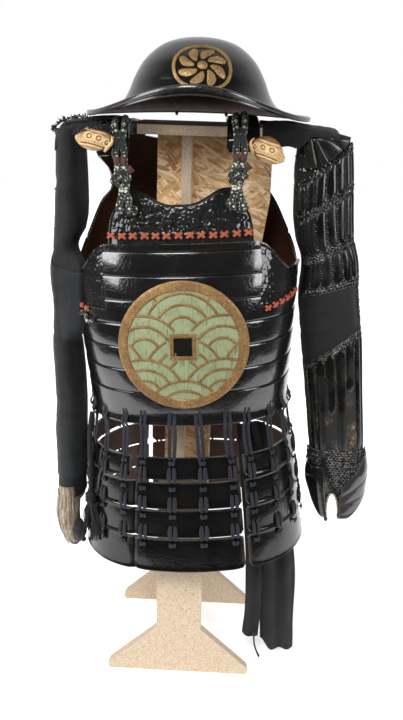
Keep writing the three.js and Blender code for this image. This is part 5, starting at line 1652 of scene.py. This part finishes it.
def build_knots():
    made = []
    for x in np.linspace(-108, 104, 13):
        made += crossed(on_body, x + rng.normal(0, 0.5), 803 + rng.normal(0, 0.4), 6.6, 5.2)
    for k in range(6):
        made += crossed(on_side, 128 + k * 14.5, 684 + 3.2 * k, 5.6, 5.4)
    for k in range(2):
        made += crossed(on_side, -172 + k * 15, 687 - 3 * k, 5.4, 5.4)
    piece("crossed_knots", together(made), ORANGE, leaned=True)
    t = np.linspace(0, 1, 40)
    tie = on_side(-178 + 36 * t, 672 + 5 * np.sin(t * 7) - 6 * t, 6.5 + 1.5 * np.cos(t * 11))
    piece("side_tie", tube(tie, 3.4, 10), MOTTLED, leaned=True)


SASH_WIDE = table((470, 120, -40, 18, 0), (360, 146, -42, 26, 0), (240, 168, -44, 31, 0),
                  (150, 178, -46, 34, 0),
                  (60, 180, -47, 32, 4), (10, 181, -48, 30, 10), names=("x", "y", "half", "hang"))
SASH_NARROW = table((470, 98, -54, 11, 0), (300, 122, -60, 13, 0), (180, 130, -64, 15, 0),
                    (110, 132, -64, 14, 0),
                    (46, 131, -64, 15, 6), names=("x", "y", "half", "hang"))


def sash(rows, folds, depth, name, node, seed, end):
    """One hanging tail of the sash, folded along its length."""
    u, z = across(-1, 1, 57), upward(rows["z"][0], rows["z"][-1], 90)
    wave = np.sin((u * folds + 0.25 + 0.25 * np.sin(z / 90)) * math.pi) * (0.6 + 0.4 * smooth(470, 200, z))
    half = follow(rows, "half", z) * (1 + 0.05 * np.sin(z / 37 + seed))
    x = follow(rows, "x", z) + u * half + 1.5 * np.sin(z / 55 + seed)
    low = end(u) * smooth(rows["z"][0] + 70, rows["z"][0], z)
    drop = follow(rows, "hang", z) * u ** 2 + low
    points = np.stack([x, follow(rows, "y", z) + depth * wave, z + drop], -1)
    dent = noise(points * np.array([1, 1, 0.4]), 20, seed, 3) * 2.1
    made = piece(name, wall(points, 0.6 + dent, -0.6 + dent), SILK, [node], crease=60)
    wide = np.linalg.norm(np.diff(points, axis=0), axis=2).sum(0) / 1000
    length = round(float(distance(points[28])[-1]) / 1000, 3)


def build_sash():
    sash(SASH_WIDE, 2, 4, "wide_sash", "sash_wide", 2, lambda u: 10 * np.clip(-u, 0, 1) + 3 * np.sin(u * 5))
    sash(SASH_NARROW, 1, 3, "narrow_sash", "sash_narrow", 5, lambda u: 8 * np.clip(-u, 0, 1) ** 2)
    t = across(0, 1, 12)
    tie = np.array([138.0, -66, 58]) + t * np.array([12, -2, -50]) + np.sin(t * 3) * np.array([-4.0, -3, 0])
    thread = tube(tie, 3.4 - np.sin(t[:, 0] * 3), 8, 0.5)
    piece("narrow_sash_tie", together([thread, ball((140, -66, 58), (6, 5, 6))]), SILK)


build_knots()
build_sash()

# ------------------------------------------------------------------ floor and light

WHITE_LIGHT = (1, 1, 1, 1)


def area_light(name, place, aim, size, power):
    data = bpy.data.lights.new(name, "AREA")
    data.shape, data.energy = "RECTANGLE", power
    data.size, data.size_y = size
    made = bpy.data.objects.new(name, data)
    bpy.context.scene.collection.objects.link(made)
    made.location = place
    made.rotation_mode = "QUATERNION"
    made.rotation_quaternion = (Vector(aim) - Vector(place)).to_track_quat("-Z", "Y")


def build_floor():
    """A white floor that glows more the farther it lies, so that it has no horizon."""
    data = bpy.data.meshes.new("floor")
    corners = [(-1.5, -0.75, 0), (1.5, -0.75, 0), (5.0, 9.0, 0), (-5.0, 9.0, 0)]
    data.from_pydata(corners, [], [(0, 1, 2, 3)])
    floor = bpy.data.objects.new("floor", data)
    bpy.context.scene.collection.objects.link(floor)
    look = Look("floor")
    look.put(color=(0.9, 0.9, 0.9), rough=0.9)
    far = look.node("ShaderNodeVectorMath", {0: look.where}, operation="LENGTH").outputs["Value"]
    look.set(look.shader.inputs["Emission Color"], WHITE_LIGHT)
    glow = look.ramp(look.times(far, 0.5), (0.12, 0.5), (0.5, 1.0))
    look.set(look.shader.inputs["Emission Strength"], glow)
    data.materials.append(look.material)


def build_studio():
    """White to the camera; to the armour a room that is dark in front and light behind."""
    world = bpy.data.worlds.new("studio")
    world.use_nodes = True
    tree = world.node_tree
    bpy.context.scene.world = world
    bpy.context.scene.view_settings.view_transform = "Standard"
    seen, room = tree.nodes["Background"], tree.nodes.new("ShaderNodeBackground")
    for light in (seen, room):
        light.inputs["Color"].default_value = WHITE_LIGHT
    seen.inputs["Strength"].default_value = 1.0
    kinds = ("TexCoord", "SeparateXYZ", "MapRange", "LightPath", "MixShader")
    aim, parts, behind, path, either = (tree.nodes.new("ShaderNode" + kind) for kind in kinds)
    for name, value in (("From Min", -0.05), ("From Max", 0.6), ("To Min", 0.05), ("To Max", 0.75)):
        behind.inputs[name].default_value = value
    for start, stop in ((aim.outputs["Generated"], parts.inputs[0]),
                        (parts.outputs[1], behind.inputs["Value"]),
                        (behind.outputs[0], room.inputs["Strength"]),
                        (path.outputs["Is Camera Ray"], either.inputs[0]),
                        (room.outputs[0], either.inputs[1]),
                        (seen.outputs[0], either.inputs[2]),
                        (either.outputs[0], tree.nodes["World Output"].inputs[0])):
        tree.links.new(start, stop)
    area_light("key", (-1.5, -0.95, 1.5), (0, 0, 1.1), (0.9, 1.3), 38)
    area_light("fill", (1.45, -1.05, 1.45), (0, 0, 1.1), (0.6, 1.3), 25)
    area_light("front", (-0.5, -2.2, 2.4), (0, 0, 0.6), (0.7, 0.7), 34)


build_floor()
build_studio()
